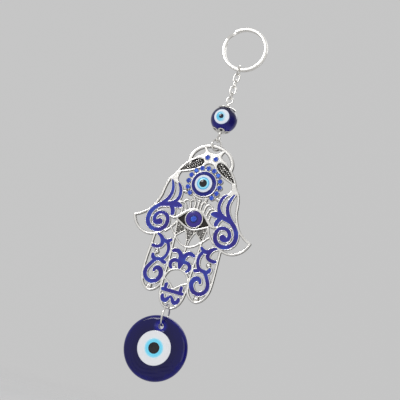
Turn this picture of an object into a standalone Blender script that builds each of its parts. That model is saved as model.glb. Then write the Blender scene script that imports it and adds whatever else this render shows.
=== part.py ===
"""Evil eye hanging ornament, hung straight down from its key ring.

From the top: a split key ring, a short cable chain, a glass eye bead between petal caps on an eye pin,
an openwork cast hamsa with enamel pools, set stones and a cabochon eye, and a flat glass eye disc.

Sizes are in millimetres and are turned into metres when a mesh is made. +Z is up and the hamsa faces -Y.
The origin is the top of the key ring's hole, where a hook carries it.
The hamsa is drawn flat as (u, v): u runs to +X and v to +Z, and only the left half is written down.
"""

import math

import bmesh
import bpy
import numpy as np
from mathutils import Matrix

MM = 0.001
UPRIGHT = Matrix.Rotation(math.pi / 2, 4, "X")

# Fits
RUN = 0.15
SEAT = 0.06
CURVE_STEP = 0.18

# Key ring: two flat turns of one wire
KEY_BORE_RADIUS = 12.0
KEY_WIRE_WIDTH = 1.9
KEY_WIRE_THICKNESS = 1.2
KEY_TURN_GAP = 0.55
KEY_CROSSING_DEG = 150.0
KEY_CLIMB_DEG = 13.0
KEY_END_DEG = 17.0

# Chain and jump rings: inner radius or half height, and wire radius
END_RING_BORE_RADIUS = 2.6
END_RING_WIRE = 0.45
LINK_HALF_HEIGHT = 2.1
LINK_HALF_WIDTH = 1.2
LINK_WIRE = 0.5
LINK_COUNT = 3
TOP_RING_BORE_RADIUS = 1.7
TOP_RING_WIRE = 0.45
HAND_RING_BORE_RADIUS = 2.8
HAND_RING_WIRE = 0.5
HAND_RING_TURN_DEG = 45.0
HAND_RING_REST = 0.8
DISC_RING_BORE_RADIUS = 5.75
DISC_RING_WIRE = 0.6
RING_SLIT = 0.35

# Eye pin, bead and bead caps
BEAD_RADIUS = 8.0
BEAD_HOLE_RADIUS = 0.9
PIN_WIRE = 0.5
PIN_LOOP_BORE_RADIUS = 1.4
PIN_LOOP_START_DEG = 25.0
CAP_THICKNESS = 0.5
CAP_COLLAR_RADIUS = 1.3
CAP_COLLAR_HEIGHT = 0.7
CAP_PETALS = 5
CAP_PETAL_TIP = 5.3
CAP_PETAL_NOTCH = 3.3
BEAD_EYE = (("white", 4.6, 1.3), ("blue", 3.2, 0.9), ("pupil", 1.45, 0.6))

# Glass disc
DISC_RADIUS = 19.25
DISC_THICKNESS = 7.0
DISC_CROWN = 0.7
DISC_RIM_RADIUS = 2.6
DISC_HOLE_RADIUS = 1.7
DISC_HOLE_FROM_CENTRE = 13.0
DISC_DIMPLE_RADIUS = 3.0
DISC_DIMPLE_DEPTH = 0.8
DISC_EYE = (("white", 10.1, 1.6), ("blue", 5.6, 1.1), ("pupil", 3.4, 0.7))

# Hamsa: levels toward the viewer, measured from the middle of its thickness
HAND_BACK = -1.1
LINE_FRONT = 1.05
LID_FRONT = 1.3
BAR_FRONT = 0.8
FLOOR_FRONT = 0.1
HALO_FRONT = 0.75
BALL_FRONT = 1.25
SETTING_FRONT = 1.35
BEZEL_FRONT = 2.2
POCKET_FLOOR = 0.15
ENAMEL_FRONT = 0.85
STONE_FLOOR = 0.3
STONE_TABLE = 1.95
CABOCHON_FLOOR = 0.3
CABOCHON_CROWN = 2.2

# Hamsa: widths of the cast lines
CROWN_WIDTH = 2.2
BORDER_WIDTH = 1.3
FRAME_WIDTH = 0.95
LID_WIDTH = 1.4
LASH_WIDTH = 0.75
BAR_WIDTH = 0.62
POST_WIDTH = 1.3
ENAMEL_RIM = 0.42

# Hamsa: set pieces
BEZEL_CENTRE = (0.0, 25.45)
BEZEL_RADIUS = 8.05
BEZEL_WALL = 0.7
BEZEL_STEPS = 24
CABOCHON_EYE = (("white", 5.4, 1.0), ("blue", 4.0, 0.75), ("pupil", 2.6, 0.5))
STONE_RADIUS = 1.3
SETTING_WALL = 0.36
HALO_STONES = 13
HALO_STEP_DEG = 22.5
HALO_SPACE = 0.1
HEAD_STONE = (2.6, 41.65)
IRIS_CENTRE = (0.0, 3.85)
IRIS_RADIUS = 4.95
IRIS_STEPS = 20
IRIS_STONE_RADIUS = 1.9
BRIDGE_RADIUS = 0.8

# Hamsa: the crown is part of an ellipse, and the ring hangs at the middle of its top
CROWN_CENTRE_V = 38.8
CROWN_HALF_WIDTH = 13.2
CROWN_HALF_HEIGHT = 10.6
CROWN_FOOT_DEG = -8.0
TIP_V = -50.5

# Hamsa: cast lines of the left half
SIDE = [(-18.0, 30.0), (-19.3, 27.2), (-21.4, 24.4), (-22.6, 21.0), (-23.3, 17.0), (-23.7, 13.5),
        (-24.8, 10.0),
        (-26.2, 6.8), (-28.4, 3.3), (-31.0, 1.0), (-33.6, -0.8), (-36.6, -2.1)]
THUMB = [(-36.6, -2.2), (-35.5, -4.6), (-33.9, -7.0), (-31.4, -9.2), (-28.4, -10.6), (-25.3, -11.1),
         (-22.2, -10.6), (-19.0, -9.6)]
FINGER = [(-20.9, -10.6), (-21.0, -15.0), (-21.3, -21.0), (-21.5, -27.0), (-21.5, -32.0), (-21.1, -35.6),
          (-19.9, -38.9), (-17.9, -41.5), (-15.0, -43.1), (-12.2, -42.4), (-10.1, -40.6), (-8.7, -38.2),
          (-7.9, -35.0)]
MIDDLE = [(-8.4, -9.3), (-8.2, -14.0), (-7.8, -20.0), (-7.7, -28.0), (-7.7, -36.0), (-7.5, -41.0),
          (-6.8, -44.5),
          (-5.4, -47.5), (-3.2, -49.7), (0.0, TIP_V)]
WING_TOP = [(-5.2, 41.2), (-8.0, 40.6), (-11.0, 39.0), (-13.6, 36.7), (-15.8, 33.9), (-17.2, 31.7),
            (-18.2, 29.8)]
WING_LOW = [(-3.8, 36.6), (-7.0, 34.2), (-10.3, 32.3), (-13.6, 31.0), (-16.6, 29.9), (-18.0, 29.3)]
LID_TOP = [(-14.6, 2.4), (-13.0, 1.8), (-11.4, 2.1), (-9.6, 3.5), (-7.2, 5.9), (-5.0, 7.9), (-2.6, 9.3),
           (0.0, 9.8)]
LID_LOW = [(-9.9, 1.4), (-6.6, -0.3), (-4.2, -1.5), (-2.0, -2.3), (0.0, -2.6)]
BIB = [(-12.3, -4.1), (-10.0, -6.8), (-8.0, -8.9), (-5.4, -11.2), (-2.8, -12.7), (0.0, -13.3)]
ARCH = [(-7.3, -33.6), (-6.6, -31.4), (-5.3, -29.2), (-3.0, -27.7), (0.0, -27.1)]
STRUT = [(-9.8, 1.0), (-10.4, -1.0), (-12.3, -4.0), (-15.2, -7.2)]
TIP_CURVE = [(-7.6, -34.1), (-5.6, -34.8), (-3.5, -36.2), (-1.7, -37.8), (0.0, -39.3)]
BIB_BARS = [[(-9.6, 0.4), (-9.1, -4.0), (-8.6, -8.4)],
            [(-8.4, -8.6), (-6.0, -6.2), (-3.3, -3.7)],
            [(-3.3, -3.7), (-2.1, -5.8), (-1.1, -8.6), (-0.65, -11.0), (-0.62, -13.3)]]
LASHES = [[(-1.95, 9.6), (-1.95, 13.2), (-1.65, 14.3), (-1.15, 14.7), (-0.7, 14.3), (-0.4, 13.2),
           (-0.4, 9.8)],
          [(-4.3, 8.8), (-4.3, 12.8), (-3.95, 14.1), (-3.4, 14.6), (-2.85, 14.1), (-2.5, 12.8),
           (-2.5, 9.4)],
          [(-6.1, 7.0), (-6.9, 11.0), (-6.85, 13.0), (-6.5, 13.8), (-5.8, 14.1), (-5.2, 13.7),
           (-4.8, 12.8), (-4.7, 8.2)],
          [(-6.9, 7.0), (-7.3, 9.4), (-7.9, 11.2), (-9.3, 12.2), (-11.4, 12.0)],
          [(-6.8, 13.4), (-7.9, 13.5), (-8.8, 12.6)],
          [(-9.4, 9.2), (-8.9, 7.2), (-9.2, 4.2)],
          [(-3.4, 14.3), (-3.6, 18.0)],
          [(-1.15, 14.5), (-1.0, 18.2)],
          [(-12.2, 18.8), (-7.0, 18.5)],
          [(-16.4, -17.6), (-16.5, -20.2), (-17.4, -22.6)]]
POST = [(0.0, -13.2), (0.0, -18.2)]

# Hamsa: cast balls, as centre and radius, and the bridges inside the big spiral
BALLS = [((-10.0, 18.8), 1.2), ((-16.4, -20.3), 1.45), ((-14.9, -40.85), 1.7), ((-3.1, -26.5), 0.9)]
BRIDGES = [(-23.4, 3.8), (-25.6, -0.7), (-24.0, -5.1), (-18.3, -4.9)]

# Hamsa: plates and the sunk floors that carry the texture
HEAD = [(0.0, 45.0), (-2.2, 45.2), (-3.8, 46.2), (-5.0, 47.8), (-6.6, 47.4), (-5.6, 45.6), (-5.2, 44.4),
        (-5.8, 43.3), (-7.2, 42.3), (-7.6, 40.5), (-5.6, 40.3), (-4.5, 39.6), (-4.1, 38.4), (-4.4, 37.2),
        (-5.6, 35.6), (-5.4, 34.0), (-3.5, 35.6), (-2.9, 36.8), (-2.0, 37.7), (-0.9, 38.2), (0.0, 38.3)]
SHOULDER = [(-17.4, 30.2), (-18.8, 29.0), (-19.7, 27.0), (-21.8, 24.6), (-22.3, 22.9), (-20.9, 23.6),
            (-19.6, 23.6),
            (-18.2, 22.9), (-16.9, 21.8), (-15.6, 21.9), (-14.9, 22.8), (-16.2, 24.2), (-16.8, 25.8),
            (-16.7, 27.6),
            (-16.0, 29.6)]
WING_FLOOR = [(-17.7, 29.9), (-17.2, 31.7), (-15.8, 33.9), (-13.6, 36.7), (-11.0, 39.0), (-8.0, 40.6),
              (-5.0, 40.8), (-3.9, 38.6),
              (-4.6, 36.2), (-7.0, 34.2), (-10.3, 32.3), (-13.6, 31.0)]
EYE_FLOOR = [(0.0, 9.6), (-2.6, 9.1), (-5.0, 7.8), (-7.2, 5.8), (-9.6, 3.4), (-10.9, 2.1), (-9.9, 1.3),
             (-6.6, -0.3), (-4.2, -1.5),
             (0.0, -2.6)]
BIB_FLOOR = [(0.0, -2.6), (-4.2, -1.5), (-6.6, -0.3), (-9.6, 1.0), (-9.0, -4.0), (-8.5, -8.4), (-5.9, -6.1),
             (-3.3, -3.8), (-2.1, -5.8), (-1.1, -8.6), (0.0, -9.6)]

# Hamsa: enamel lines of the left half as (u, v, width), with the scroll's coils and leaves
SCROLL = [[(-19.7, 23.5, 0.4), (-18.9, 21.8, 0.9), (-18.0, 19.3, 1.3), (-17.7, 17.0, 1.4),
           (-18.0, 14.5, 1.5),
           (-18.9, 12.1, 1.7), (-20.5, 9.6, 1.9), (-22.8, 7.1, 2.0), (-25.4, 4.6, 2.0), (-27.1, 1.7, 2.1),
           (-27.7, -1.5, 2.1), (-27.0, -4.6, 2.1), (-24.9, -6.9, 2.0), (-21.6, -7.9, 2.0),
           (-18.3, -7.2, 2.0),
           (-16.1, -5.0, 2.0), (-15.3, -2.0, 1.9), (-15.8, 0.7, 1.8), (-17.3, 2.4, 1.7), (-19.5, 3.0, 1.6),
           (-21.8, 2.3, 1.6), (-23.3, 0.6, 1.7), (-23.7, -1.4, 1.8), (-22.9, -3.2, 1.9),
           (-21.2, -3.7, 1.9)],
          [(-20.5, -3.0, 3.3), (-20.0, -2.7, 3.3)],
          [(-15.3, 22.5, 0.5), (-14.2, 21.3, 1.1), (-13.0, 19.0, 1.4), (-12.5, 16.5, 1.4),
           (-12.7, 14.2, 1.5),
           (-13.7, 12.0, 1.7), (-15.3, 10.2, 2.1), (-17.3, 8.9, 2.4), (-19.8, 8.3, 2.4), (-22.2, 7.4, 2.0)],
          [(-15.2, 9.6, 2.6), (-13.2, 9.6, 3.2), (-11.6, 9.6, 2.8), (-10.3, 9.4, 1.7), (-9.6, 9.2, 0.7)],
          [(-16.2, 8.9, 2.0), (-14.9, 7.2, 2.0), (-14.0, 5.4, 2.1), (-13.8, 3.8, 1.9)]]
FINGER_SCROLL = [[(-18.6, -9.9, 0.5), (-17.1, -10.4, 1.2), (-15.6, -11.6, 1.7), (-14.6, -13.4, 2.0),
                  (-14.5, -15.2, 1.8), (-15.4, -16.7, 1.5), (-17.2, -17.4, 1.4), (-19.6, -17.4, 1.4)],
                 [(-15.6, -11.9, 1.2), (-14.0, -12.8, 1.6), (-12.3, -13.1, 1.7), (-10.8, -12.5, 1.5),
                  (-9.6, -11.4, 0.8)],
                 [(-12.0, -13.0, 1.5), (-10.7, -14.4, 1.4), (-9.8, -16.6, 1.3), (-9.6, -18.8, 1.2),
                  (-10.0, -21.0, 1.2),
                  (-11.0, -22.9, 1.3), (-12.6, -24.2, 1.5)],
                 [(-18.0, -22.5, 1.2), (-17.6, -23.8, 1.8), (-16.2, -24.8, 1.9), (-14.3, -24.5, 1.5),
                  (-12.4, -24.3, 1.5), (-10.9, -25.1, 1.5), (-9.6, -25.4, 1.4)],
                 [(-15.6, -24.9, 1.8), (-16.9, -26.7, 1.5), (-18.3, -29.0, 1.5), (-19.4, -31.4, 1.6),
                  (-19.6, -33.8, 1.7), (-18.7, -36.0, 1.7), (-16.9, -37.6, 1.7), (-14.6, -38.1, 1.7),
                  (-12.3, -37.4, 1.8), (-10.6, -35.6, 2.0), (-9.8, -33.3, 2.1), (-10.2, -31.2, 2.2),
                  (-11.4, -29.8, 2.2), (-13.0, -29.5, 1.9), (-14.2, -30.3, 1.4), (-14.6, -31.6, 0.9)]]
FLOWER_ARMS = [[(-6.4, -17.3, 1.3), (-5.4, -16.9, 1.6), (-4.0, -16.6, 1.7), (-2.4, -17.4, 1.8),
                (-1.2, -19.0, 2.0),
                (-0.8, -21.0, 2.2)],
               [(-0.6, -22.7, 1.8), (-2.6, -22.3, 1.5), (-4.5, -22.6, 1.5), (-5.8, -23.9, 1.5),
                (-6.0, -25.5, 1.4),
                (-5.4, -26.8, 1.2), (-4.7, -27.4, 0.7)]]
FLOWER_STEM = [(0.0, -18.6, 1.0), (0.0, -20.5, 2.6), (0.0, -22.8, 3.0), (0.0, -24.6, 2.0),
               (0.0, -26.2, 1.0)]
CUP_BAR = [(-6.1, -40.5, 1.5), (6.1, -40.5, 1.5)]
CUP_STANDS = [[(-4.7, -37.2, 1.5), (-4.7, -40.2, 1.5)]]
WAVE = [(-5.0, -44.1, 1.1), (-4.9, -45.3, 1.6), (-4.1, -46.3, 1.8), (-2.8, -46.7, 1.8), (-1.6, -46.0, 1.6),
        (-0.8, -44.9, 1.3), (0.0, -44.2, 1.0)]

# Colour, roughness and metallic value of each finish
FINISHES = {
    "silver": ((0.80, 0.78, 0.74), 0.22, 1.0),
    "enamel": ((0.06, 0.05, 0.36), 0.12, 0.0),
    "stone": ((0.03, 0.12, 0.75), 0.05, 0.0),
    "cobalt_glass": ((0.01, 0.01, 0.16), 0.05, 0.0),
    "navy_glass": ((0.008, 0.006, 0.06), 0.05, 0.0),
    "white_glass": ((0.86, 0.87, 0.88), 0.08, 0.0),
    "blue_glass": ((0.22, 0.70, 0.95), 0.08, 0.0),
    "black_glass": ((0.01, 0.01, 0.012), 0.06, 0.0),
}
EYE_FINISHES = {"white": "white_glass", "blue": "blue_glass", "pupil": "black_glass"}


def clear_scene():
    for obj in list(bpy.data.objects):
        bpy.data.objects.remove(obj, do_unlink=True)


def make_materials():
    made = {}
    for name, (colour, roughness, metallic) in FINISHES.items():
        material = bpy.data.materials.new(name)
        material.use_nodes = True
        shader = material.node_tree.nodes["Principled BSDF"]
        shader.inputs["Base Color"].default_value = (*colour, 1.0)
        shader.inputs["Roughness"].default_value = roughness
        shader.inputs["Metallic"].default_value = metallic
        made[name] = material
    return made


class Workshop:
    """The part's collection, its finishes, and the tools that put pieces into it."""

    def __init__(self):
        self.parts = bpy.data.collections.new("evil_eye_hanging_ornament")
        bpy.context.scene.collection.children.link(self.parts)
        self.materials = make_materials()

    def pivot(self, name, height):
        """An empty on a joint's axis, which carries what turns there."""
        empty = bpy.data.objects.new(name, None)
        empty.location.z = height * MM
        empty.empty_display_size = 2 * MM
        self.parts.objects.link(empty)
        return empty

    def finish(self, obj, name, material, parent, drop=(0.0, 0.0, 0.0), turn=0.0):
        """Names a piece, gives it its material, and places it on its pivot, turned about +Z."""
        obj.name = name
        obj.data.name = name
        obj.data.materials.clear()
        obj.data.materials.append(self.materials[material])
        obj.parent = parent
        obj.location = [value * MM for value in drop]
        obj.rotation_euler.z = turn
        for collection in list(obj.users_collection):
            collection.objects.unlink(obj)
        self.parts.objects.link(obj)
        if obj.type == "MESH":
            obj.data.shade_smooth()
            obj.data.set_sharp_from_angle(angle=math.radians(35))
        return obj


def linked(name, data):
    obj = bpy.data.objects.new(name, data)
    bpy.context.scene.collection.objects.link(obj)
    return obj


def baked(obj):
    """The object as evaluated, as a plain welded mesh object in the same place."""
    bpy.context.view_layer.update()
    graph = bpy.context.evaluated_depsgraph_get()
    mesh = bpy.data.meshes.new_from_object(obj.evaluated_get(graph))
    work = bmesh.new()
    work.from_mesh(mesh)
    bmesh.ops.remove_doubles(work, verts=work.verts, dist=1e-6)
    bmesh.ops.recalc_face_normals(work, faces=work.faces)
    work.to_mesh(mesh)
    work.free()
    mesh.transform(obj.matrix_world)
    name, old = obj.name, obj.data
    bpy.data.objects.remove(obj, do_unlink=True)
    if isinstance(old, bpy.types.Curve):
        bpy.data.curves.remove(old)
    else:
        bpy.data.meshes.remove(old)
    return linked(name, mesh)


def combined(base, steps):
    """Runs Boolean steps of (operation, pieces) on a mesh object and removes the pieces.

    Faces that lie flat with each other are then joined.
    """
    groups = []
    for operation, pieces in steps:
        group = bpy.data.collections.new(operation.lower())
        bpy.context.scene.collection.children.link(group)
        for piece in pieces:
            bpy.context.scene.collection.objects.unlink(piece)
            group.objects.link(piece)
        modifier = base.modifiers.new(operation.lower(), "BOOLEAN")
        modifier.operation = operation
        modifier.operand_type = "COLLECTION"
        modifier.collection = group
        modifier.solver = "EXACT"
        groups.append(group)
    result = baked(base)
    for group in groups:
        for piece in list(group.objects):
            bpy.data.objects.remove(piece, do_unlink=True)
        bpy.data.collections.remove(group)
    work = bmesh.new()
    work.from_mesh(result.data)
    bmesh.ops.dissolve_limit(work, angle_limit=math.radians(0.5), verts=work.verts, edges=work.edges)
    work.to_mesh(result.data)
    work.free()
    return result


def thinned(run):
    """The fewest points of a run that stay within the drawing's tolerance of it."""
    chord = run[-1, :2] - run[0, :2]
    away = run[:, :2] - run[0, :2]
    length = np.linalg.norm(chord)
    off = np.abs(chord[0] * away[:, 1] - chord[1] * away[:, 0]) / length
    far = int(off.argmax())
    if off[far] <= CURVE_STEP:
        return run[[0, -1]]
    return np.concatenate([thinned(run[:far + 1])[:-1], thinned(run[far:])])


def smooth(points):
    """A curve through hand-placed points of any width, with no more steps than its bends need."""
    points = np.asarray(points, float)
    gaps = np.linalg.norm(np.diff(points[:, :2], axis=0), axis=1)
    along = np.concatenate([[0.0], np.cumsum(gaps)])
    slopes = np.gradient(points, along, axis=0, edge_order=min(2, len(points) - 1))
    t = np.linspace(0, 1, 9)[1:, None]
    run = [points[:1]]
    for i, gap in enumerate(gaps):
        run.append((2 * t**3 - 3 * t**2 + 1) * points[i] + (t**3 - 2 * t**2 + t) * gap * slopes[i]
                   + (3 * t**2 - 2 * t**3) * points[i + 1] + (t**3 - t**2) * gap * slopes[i + 1])
    return thinned(np.concatenate(run))


def stroke(points, grow=0.0):
    """The outline of a line drawn along (u, v, width) points, with round ends."""
    run = smooth(points)
    ways = np.diff(run[:, :2], axis=0)
    ways /= np.linalg.norm(ways, axis=1)[:, None]
    heading = np.concatenate([ways[:1], ways[:-1] + ways[1:], ways[-1:]])
    heading /= np.linalg.norm(heading, axis=1)[:, None]
    left = np.stack([-heading[:, 1], heading[:, 0]], axis=1)
    half = run[:, 2:3] / 2 + grow
    angles = np.radians([45, 0, -45])[:, None]
    centres = run[:, :2]
    last = centres[-1] + half[-1] * (np.cos(angles) * heading[-1] + np.sin(angles) * left[-1])
    first = centres[0] - half[0] * (np.cos(angles) * heading[0] + np.sin(angles) * left[0])
    return np.concatenate([centres + half * left, last, (centres - half * left)[::-1], first])


def line(points, width):
    """The outline of a cast line of one width."""
    return stroke([(u, v, width) for u, v in points])


def across(points):
    """A line of the left half carried on over the middle to the right."""
    return points + [(-point[0], *point[1:]) for point in reversed(points[:-1])]


def plate(points):
    """A plate's outline, closed from its left half, which starts and ends at the middle."""
    return np.array(points + [(-u, v) for u, v in reversed(points[1:-1])])


def circle(centre, radius, steps=8):
    """A round outline, which fits a turned piece of as many steps."""
    angles = np.arange(steps) * math.tau / steps
    return np.array(centre) + radius * np.stack([np.cos(angles), np.sin(angles)], axis=1)


def mirrored(outline):
    return outline[::-1] * (-1.0, 1.0)


def both(outline):
    return [outline, mirrored(outline)]


def slab(outline, back, front):
    """A flat outline of the hamsa, as thick as from back to front, standing in its plane."""
    curve = bpy.data.curves.new("slab", "CURVE")
    curve.dimensions = "2D"
    curve.fill_mode = "BOTH"
    curve.extrude = (front - back) / 2 * MM
    spline = curve.splines.new("POLY")
    spline.points.add(len(outline) - 1)
    spline.use_cyclic_u = True
    places = np.zeros((len(outline), 4))
    places[:, :2] = np.asarray(outline) * MM
    spline.points.foreach_set("co", places.ravel())
    obj = linked("slab", curve)
    obj.matrix_world = UPRIGHT
    obj = baked(obj)
    for vertex in obj.data.vertices:
        vertex.co.y = -(front if vertex.co.y < 0 else back) * MM
    return obj


def turned(name, profile, steps, facing):
    """A profile of (radius, height) from top to bottom, turned about its axis, which then faces -Y or +Z."""
    mesh = bpy.data.meshes.new(name)
    points = [(radius * MM, 0.0, height * MM) for radius, height in profile]
    mesh.from_pydata(points, [(i, i + 1) for i in range(len(points) - 1)], [])
    obj = linked(name, mesh)
    screw = obj.modifiers.new("turn", "SCREW")
    screw.steps = steps
    screw.render_steps = steps
    screw.use_merge_vertices = True
    screw.merge_threshold = 1e-6
    screw.use_normal_calculate = True
    if facing == "-Y":
        obj.matrix_world = UPRIGHT
    return baked(obj)


def wire(name, points, radius, closed=False):
    """A round wire along points, with filled ends."""
    curve = bpy.data.curves.new(name, "CURVE")
    curve.dimensions = "3D"
    curve.bevel_depth = radius * MM
    curve.bevel_resolution = 1
    curve.use_fill_caps = not closed
    spline = curve.splines.new("POLY")
    spline.points.add(len(points) - 1)
    spline.use_cyclic_u = closed
    places = np.zeros((len(points), 4))
    places[:, :3] = np.asarray(points) * MM
    spline.points.foreach_set("co", places.ravel())
    return linked(name, curve)


def jump_ring_points(bore_radius, wire_radius):
    """A round wire ring in the XZ plane, slit at its side."""
    middle = bore_radius + wire_radius
    slit = RING_SLIT / middle / 2
    angles = np.linspace(slit, math.tau - slit, 19)
    return np.stack([middle * np.cos(angles), 0 * angles, middle * np.sin(angles)], axis=1)


def link_points():
    """A chain link's oval in the XZ plane: two straight sides and two round ends."""
    round_radius = LINK_HALF_WIDTH + LINK_WIRE
    straight = LINK_HALF_HEIGHT - LINK_HALF_WIDTH
    angles = np.linspace(0, math.pi, 8)
    height = straight + round_radius * np.sin(angles)
    top = np.stack([round_radius * np.cos(angles), 0 * angles, height], axis=1)
    return np.concatenate([top, -top])


def layer_profile(surface, radius, depth, inner, inner_depth):
    """The profile of one glass layer set flush in the layer round it, with a hollow for the layer inside."""
    top = np.linspace(inner, radius, 2 if inner else 3)
    bottom = surface(radius) - depth
    outline = [(r, surface(r)) for r in top]
    if inner:
        floor = surface(inner) - inner_depth
        outline = [(0.0, floor), (inner * 0.9, floor)] + outline
    return outline + [(radius * 0.9, bottom), (0.0, bottom)]


def glass_eye(shop, prefix, surface, layers, parent, drop, steps):
    """The coloured glass layers of an eye, each one sunk in the one before, facing the viewer."""
    for i, (colour, radius, depth) in enumerate(layers):
        inner, inner_depth = layers[i + 1][1:] if i + 1 < len(layers) else (0.0, 0.0)
        profile = layer_profile(surface, radius - SEAT, depth - SEAT, inner, inner_depth)
        piece = turned(prefix, profile, steps, "-Y")
        shop.finish(piece, f"{prefix}_{colour}", EYE_FINISHES[colour], parent, drop)


def hollow(surface, layer):
    """The start of a glass body's profile: the hollow that its eye's outer layer lies in."""
    _, radius, depth = layer
    floor = surface(radius) - depth
    return [(0.0, floor), (radius * 0.9, floor)]


def key_ring(shop, hang):
    """One flat wire wound twice, climbing from one turn to the other where its two ends lie."""
    middle = KEY_BORE_RADIUS + KEY_WIRE_WIDTH / 2
    rise = KEY_WIRE_THICKNESS + KEY_TURN_GAP
    degrees = np.linspace(KEY_END_DEG, 720 - KEY_END_DEG, 47)
    climb = np.clip((degrees - 360 + KEY_CLIMB_DEG) / (2 * KEY_CLIMB_DEG), 0, 1)
    height = rise * (climb * climb * (3 - 2 * climb) - 0.5)
    angles = np.radians(degrees + KEY_CROSSING_DEG)
    points = np.stack([middle * np.cos(angles), middle * np.sin(angles), height], axis=1)
    ahead = points[23:]
    apart = np.linalg.norm(points[:24, None, :2] - ahead[None, :, :2], axis=2)
    over = apart < middle * math.radians(6)
    lift = np.abs(points[:24, None, 2] - ahead[None, :, 2])[over]
    gap = lift[lift > rise / 4].min() - KEY_WIRE_THICKNESS
    print(f"key ring: least gap between its turns {gap:.2f} mm")
    section = bpy.data.curves.new("key_ring_section", "CURVE")
    section.dimensions = "2D"
    corner = section.splines.new("POLY")
    corner.points.add(7)
    corner.use_cyclic_u = True
    half_width, half_thickness, cut = KEY_WIRE_WIDTH / 2, KEY_WIRE_THICKNESS / 2, KEY_WIRE_THICKNESS / 5
    quarter = [(half_width, half_thickness - cut), (half_width - cut, half_thickness)]
    outline = quarter + [(-x, y) for x, y in reversed(quarter)]
    outline = outline + [(-x, -y) for x, y in outline]
    for point, (x, y) in zip(corner.points, outline):
        point.co = (x * MM, y * MM, 0.0, 1.0)
    guide = linked("key_ring_section", section)
    guide.hide_render = True
    ring = wire("key_ring", points, 0.0)
    ring.data.bevel_mode = "OBJECT"
    ring.data.bevel_object = guide
    ring.data.twist_mode = "Z_UP"
    ring.matrix_world = UPRIGHT
    ring = baked(ring)
    bpy.data.objects.remove(guide, do_unlink=True)
    shop.finish(ring, "key_ring", "silver", None, (0.0, 0.0, hang))


def hang_ring(shop, name, points, half_height, wire_radius, carrier, carrier_half, turn, closed=False):
    """Hangs a wire ring on what carries it and returns the height of the middle of its lower wire."""
    top_wire = carrier + carrier_half + RUN + wire_radius
    centre = top_wire - half_height - wire_radius
    pivot = shop.pivot(f"{name}_pivot", carrier)
    ring = wire(name, points, wire_radius, closed)
    shop.finish(ring, name, "silver", pivot, (0.0, 0.0, centre - carrier), turn)
    return centre - half_height - wire_radius


def eye_pin(shop, carrier):
    """The pin through the bead, with a loop at each end. Returns the bead's height and the low wire's."""
    loop_radius = PIN_LOOP_BORE_RADIUS + PIN_WIRE
    bead_top = BEAD_RADIUS + SEAT + CAP_THICKNESS + CAP_COLLAR_HEIGHT
    reach = bead_top + RUN + 2 * PIN_WIRE + loop_radius
    top_loop = carrier + TOP_RING_WIRE + RUN + PIN_WIRE - loop_radius
    bead = top_loop - reach
    sweep = np.radians(np.linspace(PIN_LOOP_START_DEG - 90, 270 - PIN_LOOP_START_DEG, 15))
    curl = np.stack([loop_radius * np.cos(sweep), 0 * sweep, loop_radius * np.sin(sweep)], axis=1)
    turn = math.radians(HAND_RING_TURN_DEG + 90)
    turned_curl = np.stack([curl[:, 0] * math.cos(turn), curl[:, 0] * math.sin(turn), -curl[:, 2]], axis=1)
    neck = reach - loop_radius - 2 * PIN_WIRE
    stem = np.array([(0.0, 0.0, -neck), (0.0, 0.0, 0.0), (0.0, 0.0, neck)])
    points = np.concatenate([(turned_curl - (0, 0, reach))[::-1], stem, curl + (0, 0, reach)])
    pivot = shop.pivot("eye_pin_pivot", carrier)
    pin = wire("eye_pin", points, PIN_WIRE)
    shop.finish(pin, "eye_pin", "silver", pivot, (0.0, 0.0, bead - carrier))
    return bead, bead - reach - loop_radius


def sphere_surface(radius):
    return lambda r: math.sqrt(radius * radius - r * r)


def bead(shop, height):
    """The round glass bead with its eye on the front, on the hole that the pin runs through."""
    pivot = shop.pivot("bead_pivot", height)
    surface = sphere_surface(BEAD_RADIUS)
    eye_radius = BEAD_EYE[0][1]
    start = math.asin(eye_radius / BEAD_RADIUS)
    angles = np.linspace(start, math.pi, 10)
    around = [(BEAD_RADIUS * math.sin(a), BEAD_RADIUS * math.cos(a)) for a in angles[:-1]]
    glass = turned("bead", hollow(surface, BEAD_EYE[0]) + around + [(0.0, -BEAD_RADIUS)], 20, "-Y")
    long = 2 * BEAD_RADIUS
    bore = [(0.0, long), (BEAD_HOLE_RADIUS, long), (BEAD_HOLE_RADIUS, -long), (0.0, -long)]
    hole = turned("hole", bore, 10, "+Z")
    glass = combined(glass, [("DIFFERENCE", [hole])])
    shop.finish(glass, "bead_glass", "cobalt_glass", pivot)
    glass_eye(shop, "bead_eye", surface, BEAD_EYE, pivot, (0.0, 0.0, 0.0), 16)
    for name, side in (("bead_cap_top", 1), ("bead_cap_low", -1)):
        cap = petal_cap()
        if side < 0:
            cap.data.transform(Matrix.Rotation(math.pi, 4, "X"))
        shop.finish(cap, name, "silver", pivot)


def petal_cap():
    """A cupped flower of petals that lies on the bead, with a collar round the pin."""
    inner = BEAD_RADIUS + SEAT
    outer = inner + CAP_THICKNESS
    bore = PIN_WIRE + RUN
    reach = math.asin((CAP_PETAL_TIP + 0.5) / outer)
    out_angles = np.linspace(math.asin(CAP_COLLAR_RADIUS / outer), reach, 4)
    in_angles = np.linspace(reach, math.asin(bore / inner), 4)
    collar = outer + CAP_COLLAR_HEIGHT
    profile = [(bore, collar), (CAP_COLLAR_RADIUS, collar)]
    profile += [(outer * math.sin(a), outer * math.cos(a)) for a in out_angles]
    profile += [(inner * math.sin(a), inner * math.cos(a)) for a in in_angles]
    shell = turned("cap", profile + profile[:1], 15, "+Z")
    angles = np.arange(8 * CAP_PETALS) * math.tau / (8 * CAP_PETALS)
    swell = np.abs(np.cos(angles * CAP_PETALS / 2)) ** 0.6
    radii = CAP_PETAL_NOTCH + (CAP_PETAL_TIP - CAP_PETAL_NOTCH) * swell
    outline = radii[:, None] * np.stack([np.cos(angles), np.sin(angles)], axis=1)
    petals = slab(outline, 0.0, 2 * BEAD_RADIUS)
    petals.data.transform(UPRIGHT.inverted())
    return combined(shell, [("INTERSECT", [petals])])


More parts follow.
